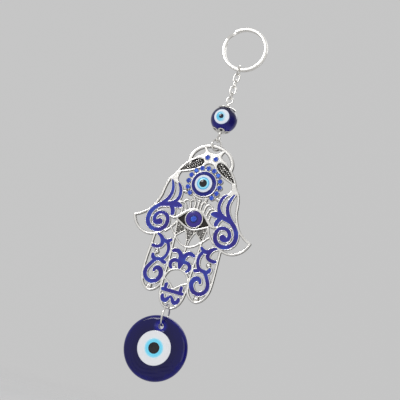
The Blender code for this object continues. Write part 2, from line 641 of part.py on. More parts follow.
def disc_surface(radius):
    """Height of the disc's face over its middle plane, a low dome."""
    return DISC_THICKNESS / 2 - DISC_CROWN * (radius / DISC_RADIUS) ** 2


def glass_disc(shop, carrier):
    """The flat glass eye with its thick round rim, holed near the edge with a dimple on both faces."""
    flat = DISC_RADIUS - DISC_RIM_RADIUS
    shoulder = disc_surface(flat)
    rim = np.radians(np.linspace(90, -90, 7))
    eye_radius = DISC_EYE[0][1]
    profile = hollow(disc_surface, DISC_EYE[0])
    profile += [(eye_radius, disc_surface(eye_radius))]
    profile += [(flat + DISC_RIM_RADIUS * math.cos(a), shoulder * math.sin(a)) for a in rim]
    profile += [(0.0, -shoulder)]
    glass = turned("disc", profile, 32, "-Y")
    half = DISC_THICKNESS / 2
    dimple = shoulder - DISC_DIMPLE_DEPTH
    cut = [(0.0, 2 * half), (DISC_DIMPLE_RADIUS, 2 * half)]
    cut += [(DISC_DIMPLE_RADIUS, shoulder), (DISC_HOLE_RADIUS, dimple)]
    hole = turned("hole", cut + [(r, -h) for r, h in reversed(cut)], 12, "-Y")
    hole.data.transform(Matrix.Translation((0, 0, DISC_HOLE_FROM_CENTRE * MM)))
    glass = combined(glass, [("DIFFERENCE", [hole])])
    ring_middle = DISC_RING_BORE_RADIUS + DISC_RING_WIRE
    wire_rise = ring_middle - math.sqrt(ring_middle**2 - dimple**2)
    hole_drop = DISC_HOLE_RADIUS - DISC_RING_WIRE - RUN - wire_rise
    drop = (0.0, 0.0, -hole_drop - DISC_HOLE_FROM_CENTRE)
    pivot = shop.pivot("disc_pivot", carrier)
    shop.finish(glass, "disc_glass", "navy_glass", pivot, drop)
    glass_eye(shop, "disc_eye", disc_surface, DISC_EYE, pivot, drop, 24)


def halo_places():
    """The stones' places round the cabochon, open below where the lashes stand."""
    ring = BEZEL_RADIUS + HALO_SPACE + STONE_RADIUS + SETTING_WALL
    first = 90 - HALO_STEP_DEG * (HALO_STONES - 1) / 2
    angles = np.radians(first + HALO_STEP_DEG * np.arange(HALO_STONES))
    return [(BEZEL_CENTRE[0] + ring * math.cos(a), BEZEL_CENTRE[1] + ring * math.sin(a)) for a in angles]


def crown_outline():
    """The round band over the head, drawn as an ellipse."""
    degrees = np.linspace(CROWN_FOOT_DEG, 180 - CROWN_FOOT_DEG, 15)
    angles = np.radians(degrees)
    across_u = CROWN_HALF_WIDTH * np.cos(angles)
    up_v = CROWN_CENTRE_V + CROWN_HALF_HEIGHT * np.sin(angles)
    return line(list(zip(across_u, up_v)), CROWN_WIDTH)


def enamel_pools():
    """Each enamel pool's name and the lines that it is drawn with."""
    def flip(lines):
        return [[(-u, v, w) for u, v, w in points] for points in lines]

    return {
        "enamel_scroll_left": SCROLL,
        "enamel_scroll_right": flip(SCROLL),
        "enamel_finger_left": FINGER_SCROLL,
        "enamel_finger_right": flip(FINGER_SCROLL),
        "enamel_flower": [FLOWER_STEM] + FLOWER_ARMS + flip(FLOWER_ARMS),
        "enamel_cup": [CUP_BAR] + CUP_STANDS + flip(CUP_STANDS),
        "enamel_wave": [WAVE] + flip([WAVE]),
    }


def casting_layers():
    """Every cast shape of the hamsa as (outline, front level)."""
    layers = [(crown_outline(), LINE_FRONT), (plate(HEAD), LINE_FRONT)]
    layers += [(outline, LINE_FRONT) for outline in both(np.array(SHOULDER))]
    layers += [(outline, FLOOR_FRONT) for outline in both(np.array(WING_FLOOR))]
    layers += [(plate(EYE_FLOOR), FLOOR_FRONT), (plate(BIB_FLOOR), FLOOR_FRONT)]
    layers += [(line(across(MIDDLE), BORDER_WIDTH), LINE_FRONT), (line(across(BIB), FRAME_WIDTH), BAR_FRONT)]
    layers += [(line(across(LID_TOP), LID_WIDTH), LID_FRONT), (line(across(LID_LOW), FRAME_WIDTH), LID_FRONT)]
    layers += [(line(across(ARCH), FRAME_WIDTH), LINE_FRONT), (line(POST, POST_WIDTH), BAR_FRONT)]
    halves = [(points, BORDER_WIDTH, LINE_FRONT) for points in (SIDE, THUMB, FINGER)]
    halves += [(points, FRAME_WIDTH, LINE_FRONT) for points in (WING_TOP, WING_LOW, STRUT, TIP_CURVE)]
    halves += [(points, BAR_WIDTH, BAR_FRONT) for points in BIB_BARS]
    halves += [(points, LASH_WIDTH, LINE_FRONT) for points in LASHES]
    for points, width, front in halves:
        layers += [(outline, front) for outline in both(line(points, width))]
    for centre, radius in BALLS:
        layers += [(outline, BALL_FRONT) for outline in both(circle(centre, radius))]
    for centre in BRIDGES:
        layers += [(outline, BAR_FRONT) for outline in both(circle(centre, BRIDGE_RADIUS, 6))]
    for lines in enamel_pools().values():
        layers += [(stroke(points, ENAMEL_RIM), LINE_FRONT) for points in lines]
    layers += [(circle(IRIS_CENTRE, IRIS_RADIUS + ENAMEL_RIM, IRIS_STEPS), LINE_FRONT)]
    layers += [(circle(BEZEL_CENTRE, BEZEL_RADIUS + STONE_RADIUS, BEZEL_STEPS), HALO_FRONT)]
    layers += [(circle(BEZEL_CENTRE, BEZEL_RADIUS, BEZEL_STEPS), BEZEL_FRONT)]
    setting = STONE_RADIUS + SETTING_WALL
    layers += [(circle(place, setting), SETTING_FRONT) for place in halo_places()]
    return layers


def stone_places():
    """Every stone's name, place and radius."""
    places = {f"halo_stone_{i + 1:02d}": (place, STONE_RADIUS) for i, place in enumerate(halo_places())}
    places["head_stone_left"] = ((-HEAD_STONE[0], HEAD_STONE[1]), STONE_RADIUS)
    places["head_stone_right"] = (HEAD_STONE, STONE_RADIUS)
    places["iris_stone"] = (IRIS_CENTRE, IRIS_STONE_RADIUS)
    return places


def hamsa_casting(shop, pivot, drop):
    """The openwork casting: its lines and plates fused on one flat back, with pockets for what is set in."""
    solids = [slab(outline, HAND_BACK, front) for outline, front in casting_layers()]
    cuts = []
    for lines in enamel_pools().values():
        cuts += [slab(stroke(points), POCKET_FLOOR, STONE_TABLE) for points in lines]
    cuts.append(slab(circle(IRIS_CENTRE, IRIS_RADIUS, IRIS_STEPS), POCKET_FLOOR, STONE_TABLE))
    bezel_hole = circle(BEZEL_CENTRE, BEZEL_RADIUS - BEZEL_WALL, BEZEL_STEPS)
    cuts.append(slab(bezel_hole, CABOCHON_FLOOR, 2 * BEZEL_FRONT))
    for name, (place, radius) in stone_places().items():
        if name != "iris_stone":
            cuts.append(slab(circle(place, radius), STONE_FLOOR, 2 * STONE_TABLE))
    casting = combined(solids[0], [("UNION", solids[1:]), ("DIFFERENCE", cuts)])
    shop.finish(casting, "hamsa_casting", "silver", pivot, drop)


def enamel(shop, pivot, drop):
    """The glassy fill of each pocket, a little below the cast rim."""
    for name, lines in enamel_pools().items():
        solids = [slab(stroke(points, -SEAT), POCKET_FLOOR + SEAT, ENAMEL_FRONT) for points in lines]
        pool = combined(solids[0], [("UNION", solids[1:])])
        shop.finish(pool, name, "enamel", pivot, drop)
    iris = slab(circle(IRIS_CENTRE, IRIS_RADIUS - SEAT, IRIS_STEPS), POCKET_FLOOR + SEAT, ENAMEL_FRONT)
    seat = slab(circle(IRIS_CENTRE, IRIS_STONE_RADIUS + SEAT), STONE_FLOOR + 2 * SEAT, STONE_TABLE)
    shop.finish(combined(iris, [("DIFFERENCE", [seat])]), "enamel_iris", "enamel", pivot, drop)


def stones(shop, pivot, drop):
    """Faceted round stones with a flat table, each in its own setting."""
    for name, (place, radius) in stone_places().items():
        girdle = radius - SEAT
        floor = STONE_FLOOR + (3 * SEAT if name == "iris_stone" else SEAT)
        profile = [(0.0, STONE_TABLE), (girdle * 0.6, STONE_TABLE), (girdle, SETTING_FRONT)]
        profile += [(girdle, floor), (0.0, floor)]
        stone = turned(name, profile, 8, "-Y")
        shop.finish(stone, name, "stone", pivot, (drop[0] + place[0], drop[1], drop[2] + place[1]))


def cabochon(shop, pivot, drop):
    """The domed glass eye in the bezel."""
    edge = BEZEL_RADIUS - BEZEL_WALL - SEAT
    dome = (edge * edge + CABOCHON_CROWN * CABOCHON_CROWN) / (2 * CABOCHON_CROWN)
    base = BEZEL_FRONT - 0.4
    low = CABOCHON_FLOOR + SEAT

    def surface(radius):
        return base + CABOCHON_CROWN - dome + math.sqrt(dome * dome - radius * radius)

    start = CABOCHON_EYE[0][1]
    profile = hollow(surface, CABOCHON_EYE[0])
    profile += [(r, surface(r)) for r in np.linspace(start, edge, 3)] + [(edge, low), (0.0, low)]
    place = (drop[0] + BEZEL_CENTRE[0], drop[1], drop[2] + BEZEL_CENTRE[1])
    glass = turned("cabochon", profile, BEZEL_STEPS, "-Y")
    shop.finish(glass, "cabochon_glass", "cobalt_glass", pivot, place)
    glass_eye(shop, "cabochon_eye", surface, CABOCHON_EYE, pivot, place, 20)


def section_reach(height, depth):
    """How far the corner of a bar's section lies from its middle."""
    return math.hypot(height, depth) / 2


def main():
    clear_scene()
    shop = Workshop()
    key_ring(shop, -KEY_BORE_RADIUS)
    key_depth = 2 * KEY_WIRE_THICKNESS + KEY_TURN_GAP
    carrier = -2 * KEY_BORE_RADIUS - KEY_WIRE_WIDTH / 2
    key_reach = section_reach(KEY_WIRE_WIDTH, key_depth)
    points = jump_ring_points(END_RING_BORE_RADIUS, END_RING_WIRE)
    low = hang_ring(shop, "end_ring", points, END_RING_BORE_RADIUS, END_RING_WIRE, carrier, key_reach,
                    math.pi / 2)
    carrier_wire = END_RING_WIRE
    for i in range(LINK_COUNT):
        low = hang_ring(shop, f"chain_link_{i + 1}", link_points(), LINK_HALF_HEIGHT, LINK_WIRE, low,
                        carrier_wire, math.pi / 2 * (i % 2), closed=True)
        carrier_wire = LINK_WIRE
    points = jump_ring_points(TOP_RING_BORE_RADIUS, TOP_RING_WIRE)
    low = hang_ring(shop, "top_ring", points, TOP_RING_BORE_RADIUS, TOP_RING_WIRE, low, carrier_wire,
                    math.pi / 2 * (LINK_COUNT % 2))
    bead_height, low = eye_pin(shop, low)
    bead(shop, bead_height)
    points = jump_ring_points(HAND_RING_BORE_RADIUS, HAND_RING_WIRE)
    low = hang_ring(shop, "hand_ring", points, HAND_RING_BORE_RADIUS, HAND_RING_WIRE, low, PIN_WIRE,
                    math.radians(HAND_RING_TURN_DEG))

    crown_top = CROWN_CENTRE_V + CROWN_HALF_HEIGHT
    hand_bar = low + HAND_RING_WIRE + HAND_RING_REST + CROWN_WIDTH / 2
    hand = shop.pivot("hamsa_pivot", hand_bar)
    drop = (0.0, 0.0, -crown_top)
    hamsa_casting(shop, hand, drop)
    enamel(shop, hand, drop)
    stones(shop, hand, drop)
    cabochon(shop, hand, drop)

    tip_bar = hand_bar - crown_top + TIP_V
    tip_reach = section_reach(BORDER_WIDTH, LINE_FRONT - HAND_BACK)
    points = jump_ring_points(DISC_RING_BORE_RADIUS, DISC_RING_WIRE)
    low = hang_ring(shop, "disc_ring", points, DISC_RING_BORE_RADIUS, DISC_RING_WIRE, tip_bar, tip_reach,
                    math.pi / 2)
    glass_disc(shop, low)
    for obj in bpy.data.objects:
        if obj.type == "EMPTY":
            print(f"{obj.name}: z {obj.location.z / MM:.3f} mm")


if __name__ == "__main__":
    main()
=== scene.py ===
"""Evil eye hanging ornament: the dressed pieces, their finishes, the light and the camera.

Sizes are in millimetres and become metres when a mesh is made. +Z is up and the hamsa faces -Y.
The hamsa is worked out on a drawing board of (u, v): u runs to +X and v to +Z.
Only the left half of the board is drawn, and the right half is its mirror image.
"""

import math

import bmesh
import bpy
import numpy as np
from mathutils import Matrix, Vector

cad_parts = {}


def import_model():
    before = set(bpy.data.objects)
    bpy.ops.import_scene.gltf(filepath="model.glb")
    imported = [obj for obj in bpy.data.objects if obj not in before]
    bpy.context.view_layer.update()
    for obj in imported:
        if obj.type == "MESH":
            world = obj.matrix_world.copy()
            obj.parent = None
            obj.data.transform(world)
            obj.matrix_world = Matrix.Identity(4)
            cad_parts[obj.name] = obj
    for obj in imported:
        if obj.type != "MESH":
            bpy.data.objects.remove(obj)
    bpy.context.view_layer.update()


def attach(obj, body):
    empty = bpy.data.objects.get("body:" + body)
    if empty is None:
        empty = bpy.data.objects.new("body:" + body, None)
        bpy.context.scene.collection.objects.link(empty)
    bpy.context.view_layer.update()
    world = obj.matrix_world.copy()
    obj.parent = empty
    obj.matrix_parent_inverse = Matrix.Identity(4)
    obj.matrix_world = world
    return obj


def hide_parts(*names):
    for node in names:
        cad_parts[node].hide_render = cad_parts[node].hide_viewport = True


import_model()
MM = 0.001

# Heights of the middles of the hung pieces
KEY_RING_Z = -12.0
END_RING_Z = -25.646
LINK_Z = (-30.196, -34.246, -38.296)
TOP_RING_Z = -41.946
BEAD_Z = -57.206
HAND_RING_Z = -73.566
HAMSA_Z = -123.866
DISC_RING_Z = -178.71
DISC_Z = -198.624

# Key ring, rings and chain
KEY_BORE_RADIUS = 12.0
KEY_WIRE_WIDTH = 1.9
KEY_WIRE_THICKNESS = 1.2
KEY_TURN_GAP = 0.55
KEY_CROSSING_DEG = 150.0
KEY_CLIMB_DEG = 13.0
KEY_END_DEG = 17.0
END_RING = (2.6, 0.45)
TOP_RING = (1.7, 0.45)
HAND_RING = (2.8, 0.5)
DISC_RING = (5.75, 0.6)
LINK_HALF_HEIGHT = 2.1
LINK_HALF_WIDTH = 1.2
LINK_WIRE = 0.5
RING_SLIT = 0.35
WIRE_SIDES = 20
RING_STEPS = 121
LINK_BEND_STEPS = 33
KEY_SIDES = 24
KEY_STEPS = 361
KEY_EDGE_POWER = 0.5
RING_FILING = (0.72, 0.93)
KEY_FILING = (0.7, 0.9)

# Eye pin, bead, caps and disc
PIN_WIRE = 0.5
PIN_LOOP_RADIUS = 1.9
PIN_REACH = 12.31
PIN_LOOP_START_DEG = 25.0
LOW_LOOP_TURN_DEG = 135.0
PIN_LOOP_STEPS = 41
PIN_STEM_STEPS = 9
PIN_STEP = 0.2
PIN_FILING = (0.7, 0.92)
BEAD_RADIUS = 8.0
BEAD_HOLE_RADIUS = 0.9
BEAD_EYE = (4.6, 3.2, 1.45)
BEAD_STEPS = 96
BEAD_ROWS = 61
BEAD_TUBE_ROWS = 7
EYE_ROWS = 22
EYE_START = 0.02
EYE_UNDER = 0.1
EYE_PROUD = 0.025
EYE_EDGE = 0.12
EYE_SUNK = 0.35
EYE_FOOT = 0.96
EYE_REACH = 20.0
CAP_SEAT = 0.06
CAP_THICKNESS = 0.5
CAP_BORE = 0.65
CAP_COLLAR_RADIUS = 1.3
CAP_COLLAR_HEIGHT = 0.7
CAP_PETALS = 5
CAP_PETAL_TIP = 5.3
CAP_PETAL_NOTCH = 3.3
CAP_STEPS = 160
CAP_ROWS = 40
PETAL_MIDDLE = 3.75
PETAL_RADIUS = 1.5
PETAL_RING = 0.78
PETAL_HOLLOW = 0.62
PETAL_BODY = 0.62
PETAL_RING_RISE = 0.55
PETAL_HOLLOW_SINK = 0.42
PETAL_TIP_FROM = 3.4
PETAL_TIP_LENGTH = 1.9
PETAL_LIFT = 0.35
PETAL_UNDER_LIFT = 0.25
PETAL_MOST = 0.55
DISC_RADIUS = 19.25
DISC_THICKNESS = 7.0
DISC_CROWN = 0.7
DISC_RIM_RADIUS = 2.6
DISC_HOLE_RADIUS = 1.7
DISC_HOLE_FROM_CENTRE = 13.0
DISC_DIMPLE_REACH = 3.2
DISC_DIMPLE_DEPTH = 0.8
DISC_LIP_RADIUS = 4.4
DISC_LIP_WIDTH = 0.9
DISC_LIP_HEIGHT = 0.18
DISC_MARKS_FROM = 10.4
DISC_WAVE_HEIGHT = 0.05
DISC_RINGS_HEIGHT = 0.1
DISC_SWEEP_HEIGHT = 0.12
DISC_EYE = (10.1, 5.6, 3.4)
DISC_STEPS = 176
DISC_FRONT_ROWS = 112
DISC_BACK_ROWS = 40
DISC_RIM_ROWS = 25
DISC_THROAT_ROWS = 7

# Hamsa: levels toward the viewer, and heights over them
HAND_BACK = -1.1
LINE_FRONT = 1.05
LID_FRONT = 1.3
BAR_FRONT = 0.8
FLOOR_FRONT = 0.1
HALO_FRONT = 0.75
BALL_FRONT = 1.25
BRIDGE_FRONT = 1.5
SETTING_FRONT = 1.35
BEZEL_FRONT = 2.2
POCKET_FLOOR = 0.15
ENAMEL_FRONT = 0.85
STONE_FLOOR = 0.3
STONE_TABLE = 1.95
STONE_GIRDLE_RISE = 0.12
CABOCHON_FLOOR = 0.3
CABOCHON_CROWN = 2.2
CABOCHON_SIDE = 0.4
ENAMEL_DIP = 0.07
ENAMEL_DIP_REACH = 0.35
ENAMEL_THIN_REACH = 0.8
IRIS_CROWN = 0.25
BARB_HEIGHT = 0.55
GRAIN_HEIGHT = 0.4

# Hamsa: widths of the cast lines, and sizes and places of the set pieces
CROWN_WIDTH = 2.2
BORDER_WIDTH = 1.5
TIP_WIDTH = 1.3
FRAME_WIDTH = 1.15
LID_LOW_WIDTH = 1.2
LASH_WIDTH = 1.25
STEM_WIDTH = 0.8
BAR_WIDTH = 0.72
POST_WIDTH = 1.3
ENAMEL_RIM = 0.58
ENAMEL_SWELL = {"scroll": 0.2, "finger": 0.28, "flower": 0.3, "cup": 0.2, "wave": 0.32}
SEAT = 0.06
BEZEL_CENTRE = (0.0, 25.45)
BEZEL_RADIUS = 8.05
BEZEL_WALL = 0.7
CABOCHON_EYE = (5.25, 3.75, 2.4)
CABOCHON_ROWS = 30
CABOCHON_STEPS = 96
CABOCHON_UNDER = 0.3
STONE_RADIUS = 1.46
STONE_TABLE_SHARE = 0.52
STONE_KITE_SHARE = 0.80
STONE_KITE_LEVEL = 0.62
# range of the painted sparkle given to the stones' faces
FACET_SPARKLE_TONES = (0.05, 0.8)
SETTING_WALL = 0.2
CLAW_RADIUS = 0.32
CLAW_HEIGHT = 0.5
CLAW_ARC_DEG = 84.0
CLAW_ROWS = 5
CLAW_SIDES = 10
CLAW_PLACE = 0.98
HALO_RADIUS = 9.3
HALO_STONES = 13
HALO_STEP_DEG = 22.5
HALO_SPACE = 0.1
HEAD_STONE = (2.6, 41.65)
IRIS_CENTRE = (0.0, 3.85)
IRIS_RADIUS = 4.95
IRIS_STONE_RADIUS = 1.9
BRIDGE_RADIUS = 0.8
BARB_LINE = ((-17.0, 30.6), (-4.6, 39.4))
BARB_STEP = 1.35
BARB_LEAN = 0.35
BARB_WRIGGLE = 0.26
BARB_REACH = 1.75
BARB_SPAN = (0.9, 14.6)
CROWN_CENTRE_V = 38.8
CROWN_HALF_WIDTH = 13.2
CROWN_HALF_HEIGHT = 10.6
CROWN_FOOT_DEG = -8.0
CROWN_PAST_MIDDLE_DEG = 15.0
CROWN_POINTS = 21

# Hamsa: slack at drawn edges, patina and wear, painted shade on the walls and outer edges, and where the
# casting is cut
EDGE_SLACK = 0.06
INSIDE_SLACK = 0.05
FLOOR_SLACK = 0.02
FLOOR_TOP = 0.66
BACK_TARNISH = 0.2
# painted shade on the casting's side walls
WALL_PAINTED_SHADE = 0.48
HOLLOWS = ((24, 1.5), (5, 2.2))
HOLLOW_TARNISH = 0.4
# painted shade along the rounded outer edges of the cast shapes: strength, reach in from the edge and
# fall-off
EDGE_PAINTED_SHADE = 0.5
EDGE_PAINTED_SHADE_REACH = 0.22
EDGE_PAINTED_SHADE_POWER = 1.5
BIB_WEAR = (0.56, 1.0)
FLOOR_WEAR = (1.1, 3.2)
CROWN_CUT = 16.0
EYE_CUT = 1.0
FINGER_CUT = -14.0

# Hamsa: how far in from its edge each cast shape is rounded, and how steeply
EDGE_FALL = 0.75
CROWN_ROUND = 0.75
PLATE_ROUND = 0.5
FLOOR_ROUND = 0.1
BORDER_ROUND = 0.6
FRAME_ROUND = 0.45
LID_ROUND = 0.75
LID_LOW_ROUND = 0.55
POST_ROUND = 0.6
BAR_ROUND = 0.3
LASH_ROUND = 0.6
STEM_ROUND = 0.4
HALO_ROUND = 0.3
SETTING_ROUND = 0.2

# Hamsa: cast lines of the left half as (u, v), the upper lid with its width
SIDE = [(-18.0, 30.0), (-19.3, 27.2), (-21.4, 24.4), (-22.6, 21.0), (-23.3, 17.0), (-23.7, 13.5),
        (-24.8, 10.0), (-26.2, 6.8), (-28.4, 3.3), (-31.0, 1.0), (-33.6, -0.8), (-36.6, -2.1)]
THUMB = [(-36.6, -2.2), (-35.5, -4.6), (-33.9, -7.0), (-31.4, -9.2), (-28.4, -10.6), (-25.3, -11.1),
         (-22.2, -10.6), (-19.0, -9.6)]
FINGER = [(-20.9, -10.6), (-21.0, -15.0), (-21.3, -21.0), (-21.5, -27.0), (-21.5, -32.0), (-21.1, -35.6),
          (-19.9, -38.9), (-17.9, -41.5), (-15.0, -43.1), (-12.2, -42.4), (-10.1, -40.6), (-8.7, -38.2),
          (-7.9, -35.0)]
MIDDLE = [(-8.4, -9.3), (-8.2, -14.0), (-7.8, -20.0), (-7.7, -28.0), (-7.7, -36.0), (-7.5, -41.0),
          (-6.8, -44.5), (-5.4, -47.5), (-3.2, -49.7), (0.0, -50.5), (3.2, -49.7), (5.4, -47.5)]
WING_TOP = [(-5.2, 41.2), (-8.0, 40.6), (-11.0, 39.0), (-13.6, 36.7), (-15.8, 33.9), (-17.2, 31.7),
            (-18.2, 29.8)]
WING_LOW = [(-3.8, 36.6), (-7.0, 34.2), (-10.3, 32.3), (-13.6, 31.0), (-16.6, 29.9), (-18.0, 29.3)]
LID_TOP = [(-14.6, 2.4, 0.9), (-13.0, 1.8, 1.4), (-11.4, 2.1, 1.8), (-9.6, 3.5, 2.0), (-7.2, 5.9, 1.9),
           (-5.0, 7.9, 1.7), (-2.6, 9.3, 1.6), (0.0, 9.8, 1.6), (2.6, 9.3, 1.6), (5.0, 7.9, 1.7)]
LID_LOW = [(-9.9, 1.4), (-6.6, -0.3), (-4.2, -1.5), (-2.0, -2.3), (0.0, -2.6), (2.0, -2.3), (4.2, -1.5)]
BIB = [(-12.3, -4.1), (-10.0, -6.8), (-8.0, -8.9), (-5.4, -11.2), (-2.8, -12.7), (0.0, -13.3),
       (2.8, -12.7), (5.4, -11.2)]
ARCH = [(-7.3, -33.6), (-6.6, -31.4), (-5.3, -29.2), (-3.0, -27.7), (0.0, -27.1), (3.0, -27.7), (5.3, -29.2)]
STRUT = [(-9.8, 1.0), (-10.4, -1.0), (-12.3, -4.0), (-15.2, -7.2)]
TIP_CURVE = [(-7.6, -34.1), (-5.6, -34.8), (-3.5, -36.2), (-1.7, -37.8), (0.0, -39.3)]
BIB_BARS = [[(-9.6, 0.4), (-9.1, -4.0), (-8.6, -8.4)],
            [(-8.4, -8.6), (-6.0, -6.2), (-3.3, -3.7)],
            [(-3.3, -3.7), (-2.1, -5.8), (-1.1, -8.6), (-0.65, -11.0), (-0.62, -13.3)]]
LASHES = [[(0.0, 9.8), (0.0, 12.6), (0.0, 15.4)],
          [(-2.15, 9.4), (-1.95, 11.8), (-2.15, 13.6), (-2.9, 15.2), (-3.8, 16.6)],
          [(-4.65, 8.2), (-4.6, 11.6), (-5.35, 13.5), (-6.7, 14.3), (-8.1, 13.8), (-9.0, 12.7)],
          [(-6.6, 7.0), (-7.0, 9.8), (-7.9, 11.6), (-9.4, 12.2), (-11.4, 12.0)],
          [(-9.5, 9.2), (-8.8, 7.0), (-8.9, 4.4)]]
STEMS = [[(-12.2, 18.8), (-7.0, 18.5)],
         [(-5.4, 13.6), (-4.2, 14.7), (-2.7, 15.0)],
         [(-16.4, -17.6), (-16.5, -20.2), (-17.4, -22.6)]]
POST = [(0.0, -13.2), (0.0, -18.2)]
BALLS = [((-10.1, 18.9), 1.35), ((-16.4, -20.3), 1.55), ((-14.9, -40.85), 1.8), ((-3.1, -26.5), 0.95),
         ((0.0, 38.9), 0.95), ((0.0, 15.3), 1.1), ((-3.85, 16.5), 0.95), ((-4.2, 14.7), 0.85),
         ((-9.2, 12.3), 0.9), ((-12.4, 12.0), 0.75), ((-13.6, 2.7), 0.7)]
BRIDGES = [(-23.4, 3.8), (-25.6, -0.7), (-24.0, -5.1), (-18.3, -4.9)]

# Hamsa: plates and sunk floors of the left half; a plate at the middle runs on past it
HEAD = [(3.0, 45.0), (0.0, 45.0), (-2.2, 45.2), (-3.8, 46.2), (-5.0, 47.8), (-6.6, 47.4), (-5.6, 45.6),
        (-5.2, 44.4), (-5.9, 43.3), (-7.3, 42.4), (-9.2, 41.2), (-11.3, 39.5), (-10.8, 38.9), (-8.0, 40.3),
        (-5.6, 40.3), (-4.5, 39.6), (-4.1, 38.4), (-4.4, 37.2), (-5.6, 35.6), (-5.4, 34.0), (-3.5, 35.6),
        (-2.9, 36.8), (-2.0, 37.7), (-0.9, 38.2), (0.0, 38.3), (3.0, 38.3)]
SHOULDER = [(-17.4, 30.2), (-18.8, 29.0), (-19.7, 27.0), (-21.8, 24.6), (-22.3, 22.9), (-20.9, 23.6),
            (-19.6, 23.6), (-18.2, 22.9), (-16.9, 21.8), (-15.6, 21.9), (-14.9, 22.8), (-16.2, 24.2),
            (-16.8, 25.8), (-16.7, 27.6), (-16.0, 29.6)]
WING_FLOOR = [(-17.7, 29.9), (-17.2, 31.7), (-15.8, 33.9), (-13.6, 36.7), (-11.0, 39.0), (-8.0, 40.6),
              (-5.0, 40.8), (-3.9, 38.6), (-4.6, 36.2), (-7.0, 34.2), (-10.3, 32.3), (-13.6, 31.0)]
EYE_FLOOR = [(3.0, 9.6), (0.0, 9.6), (-2.6, 9.1), (-5.0, 7.8), (-7.2, 5.8), (-9.6, 3.4), (-10.9, 2.1),
             (-9.9, 1.3), (-6.6, -0.3), (-4.2, -1.5), (0.0, -2.6), (3.0, -2.6)]
BIB_FLOOR = [(3.0, -2.6), (0.0, -2.6), (-4.2, -1.5), (-6.6, -0.3), (-9.6, 1.0), (-9.0, -4.0), (-8.5, -8.4),
             (-5.9, -6.1), (-3.3, -3.8), (-2.1, -5.8), (-1.1, -8.6), (0.0, -9.6), (3.0, -9.6)]
FLOORS = (WING_FLOOR, EYE_FLOOR, BIB_FLOOR)

# Hamsa: enamel lines of the left half as (u, v, width)
SCROLL = [[(-19.7, 23.5, 0.4), (-18.9, 21.8, 0.9), (-18.0, 19.3, 1.3), (-17.7, 17.0, 1.4), (-18.0, 14.5, 1.5),
           (-18.9, 12.1, 1.7), (-20.5, 9.6, 1.9), (-22.8, 7.1, 2.0), (-25.4, 4.6, 2.0), (-27.1, 1.7, 2.1),
           (-27.7, -1.5, 2.1), (-27.0, -4.6, 2.1), (-24.9, -6.9, 2.0), (-21.6, -7.9, 2.0), (-18.3, -7.2, 2.0),
           (-16.1, -5.0, 2.0), (-15.3, -2.0, 1.9), (-15.8, 0.7, 1.8), (-17.3, 2.4, 1.7), (-19.5, 3.0, 1.6),
           (-21.8, 2.3, 1.6), (-23.3, 0.6, 1.7), (-23.7, -1.4, 1.8), (-22.9, -3.2, 1.9), (-21.2, -3.7, 1.9)],
          [(-20.5, -3.0, 3.3), (-20.0, -2.7, 3.3)],
          [(-15.3, 22.5, 0.5), (-14.2, 21.3, 1.1), (-13.0, 19.0, 1.4), (-12.5, 16.5, 1.4), (-12.7, 14.2, 1.5),
           (-13.7, 12.0, 1.7), (-15.3, 10.2, 2.1), (-17.3, 8.9, 2.4), (-19.8, 8.3, 2.4), (-22.2, 7.4, 2.0)],
          [(-15.2, 9.6, 2.6), (-13.2, 9.6, 3.2), (-11.6, 9.6, 2.8), (-10.3, 9.4, 1.7), (-9.6, 9.2, 0.7)],
          [(-16.2, 8.9, 2.0), (-14.9, 7.2, 2.0), (-14.0, 5.4, 2.1), (-13.8, 3.8, 1.9)]]
FINGER_SCROLL = [[(-18.6, -9.9, 0.5), (-17.1, -10.4, 1.2), (-15.6, -11.6, 1.7), (-14.6, -13.4, 2.0),
                  (-14.5, -15.2, 1.8), (-15.4, -16.7, 1.5), (-17.2, -17.4, 1.4), (-19.6, -17.4, 1.4)],
                 [(-15.6, -11.9, 1.2), (-14.0, -12.8, 1.6), (-12.3, -13.1, 1.7), (-10.8, -12.5, 1.5),
                  (-9.6, -11.4, 0.8)],
                 [(-12.0, -13.0, 1.5), (-10.7, -14.4, 1.4), (-9.8, -16.6, 1.3), (-9.6, -18.8, 1.2),
                  (-10.0, -21.0, 1.2), (-11.0, -22.9, 1.3), (-12.6, -24.2, 1.5)],
                 [(-18.0, -22.5, 1.2), (-17.6, -23.8, 1.8), (-16.2, -24.8, 1.9), (-14.3, -24.5, 1.5),
                  (-12.4, -24.3, 1.5), (-10.9, -25.1, 1.5), (-9.6, -25.4, 1.4)],
                 [(-15.6, -24.9, 1.8), (-16.9, -26.7, 1.5), (-18.3, -29.0, 1.5), (-19.4, -31.4, 1.6),
                  (-19.6, -33.8, 1.7), (-18.7, -36.0, 1.7), (-16.9, -37.6, 1.7), (-14.6, -38.1, 1.7),
                  (-12.3, -37.4, 1.8), (-10.6, -35.6, 2.0), (-9.8, -33.3, 2.1), (-10.2, -31.2, 2.2),
                  (-11.4, -29.8, 2.2), (-13.0, -29.5, 1.9), (-14.2, -30.3, 1.4), (-14.6, -31.6, 0.9)]]
FLOWER = [[(0.0, -18.6, 1.0), (0.0, -20.5, 2.6), (0.0, -22.8, 3.0), (0.0, -24.6, 2.0), (0.0, -26.2, 1.0)],
          [(-6.4, -17.3, 1.3), (-5.4, -16.9, 1.6), (-4.0, -16.6, 1.7), (-2.4, -17.4, 1.8), (-1.2, -19.0, 2.0),
           (-0.8, -21.0, 2.2)],
          [(-0.6, -22.7, 1.8), (-2.6, -22.3, 1.5), (-4.5, -22.6, 1.5), (-5.8, -23.9, 1.5), (-6.0, -25.5, 1.4),
           (-5.4, -26.8, 1.2), (-4.7, -27.4, 0.7)]]
CUP = [[(-6.1, -40.5, 1.5), (6.1, -40.5, 1.5)], [(-4.7, -37.2, 1.5), (-4.7, -40.2, 1.5)]]
WAVE = [[(-5.0, -44.1, 1.1), (-4.9, -45.3, 1.6), (-4.1, -46.3, 1.8), (-2.8, -46.6, 1.8), (-1.7, -45.6, 1.5),
         (-0.9, -44.3, 0.9), (0.0, -43.6, 0.5)]]


# Shape tools

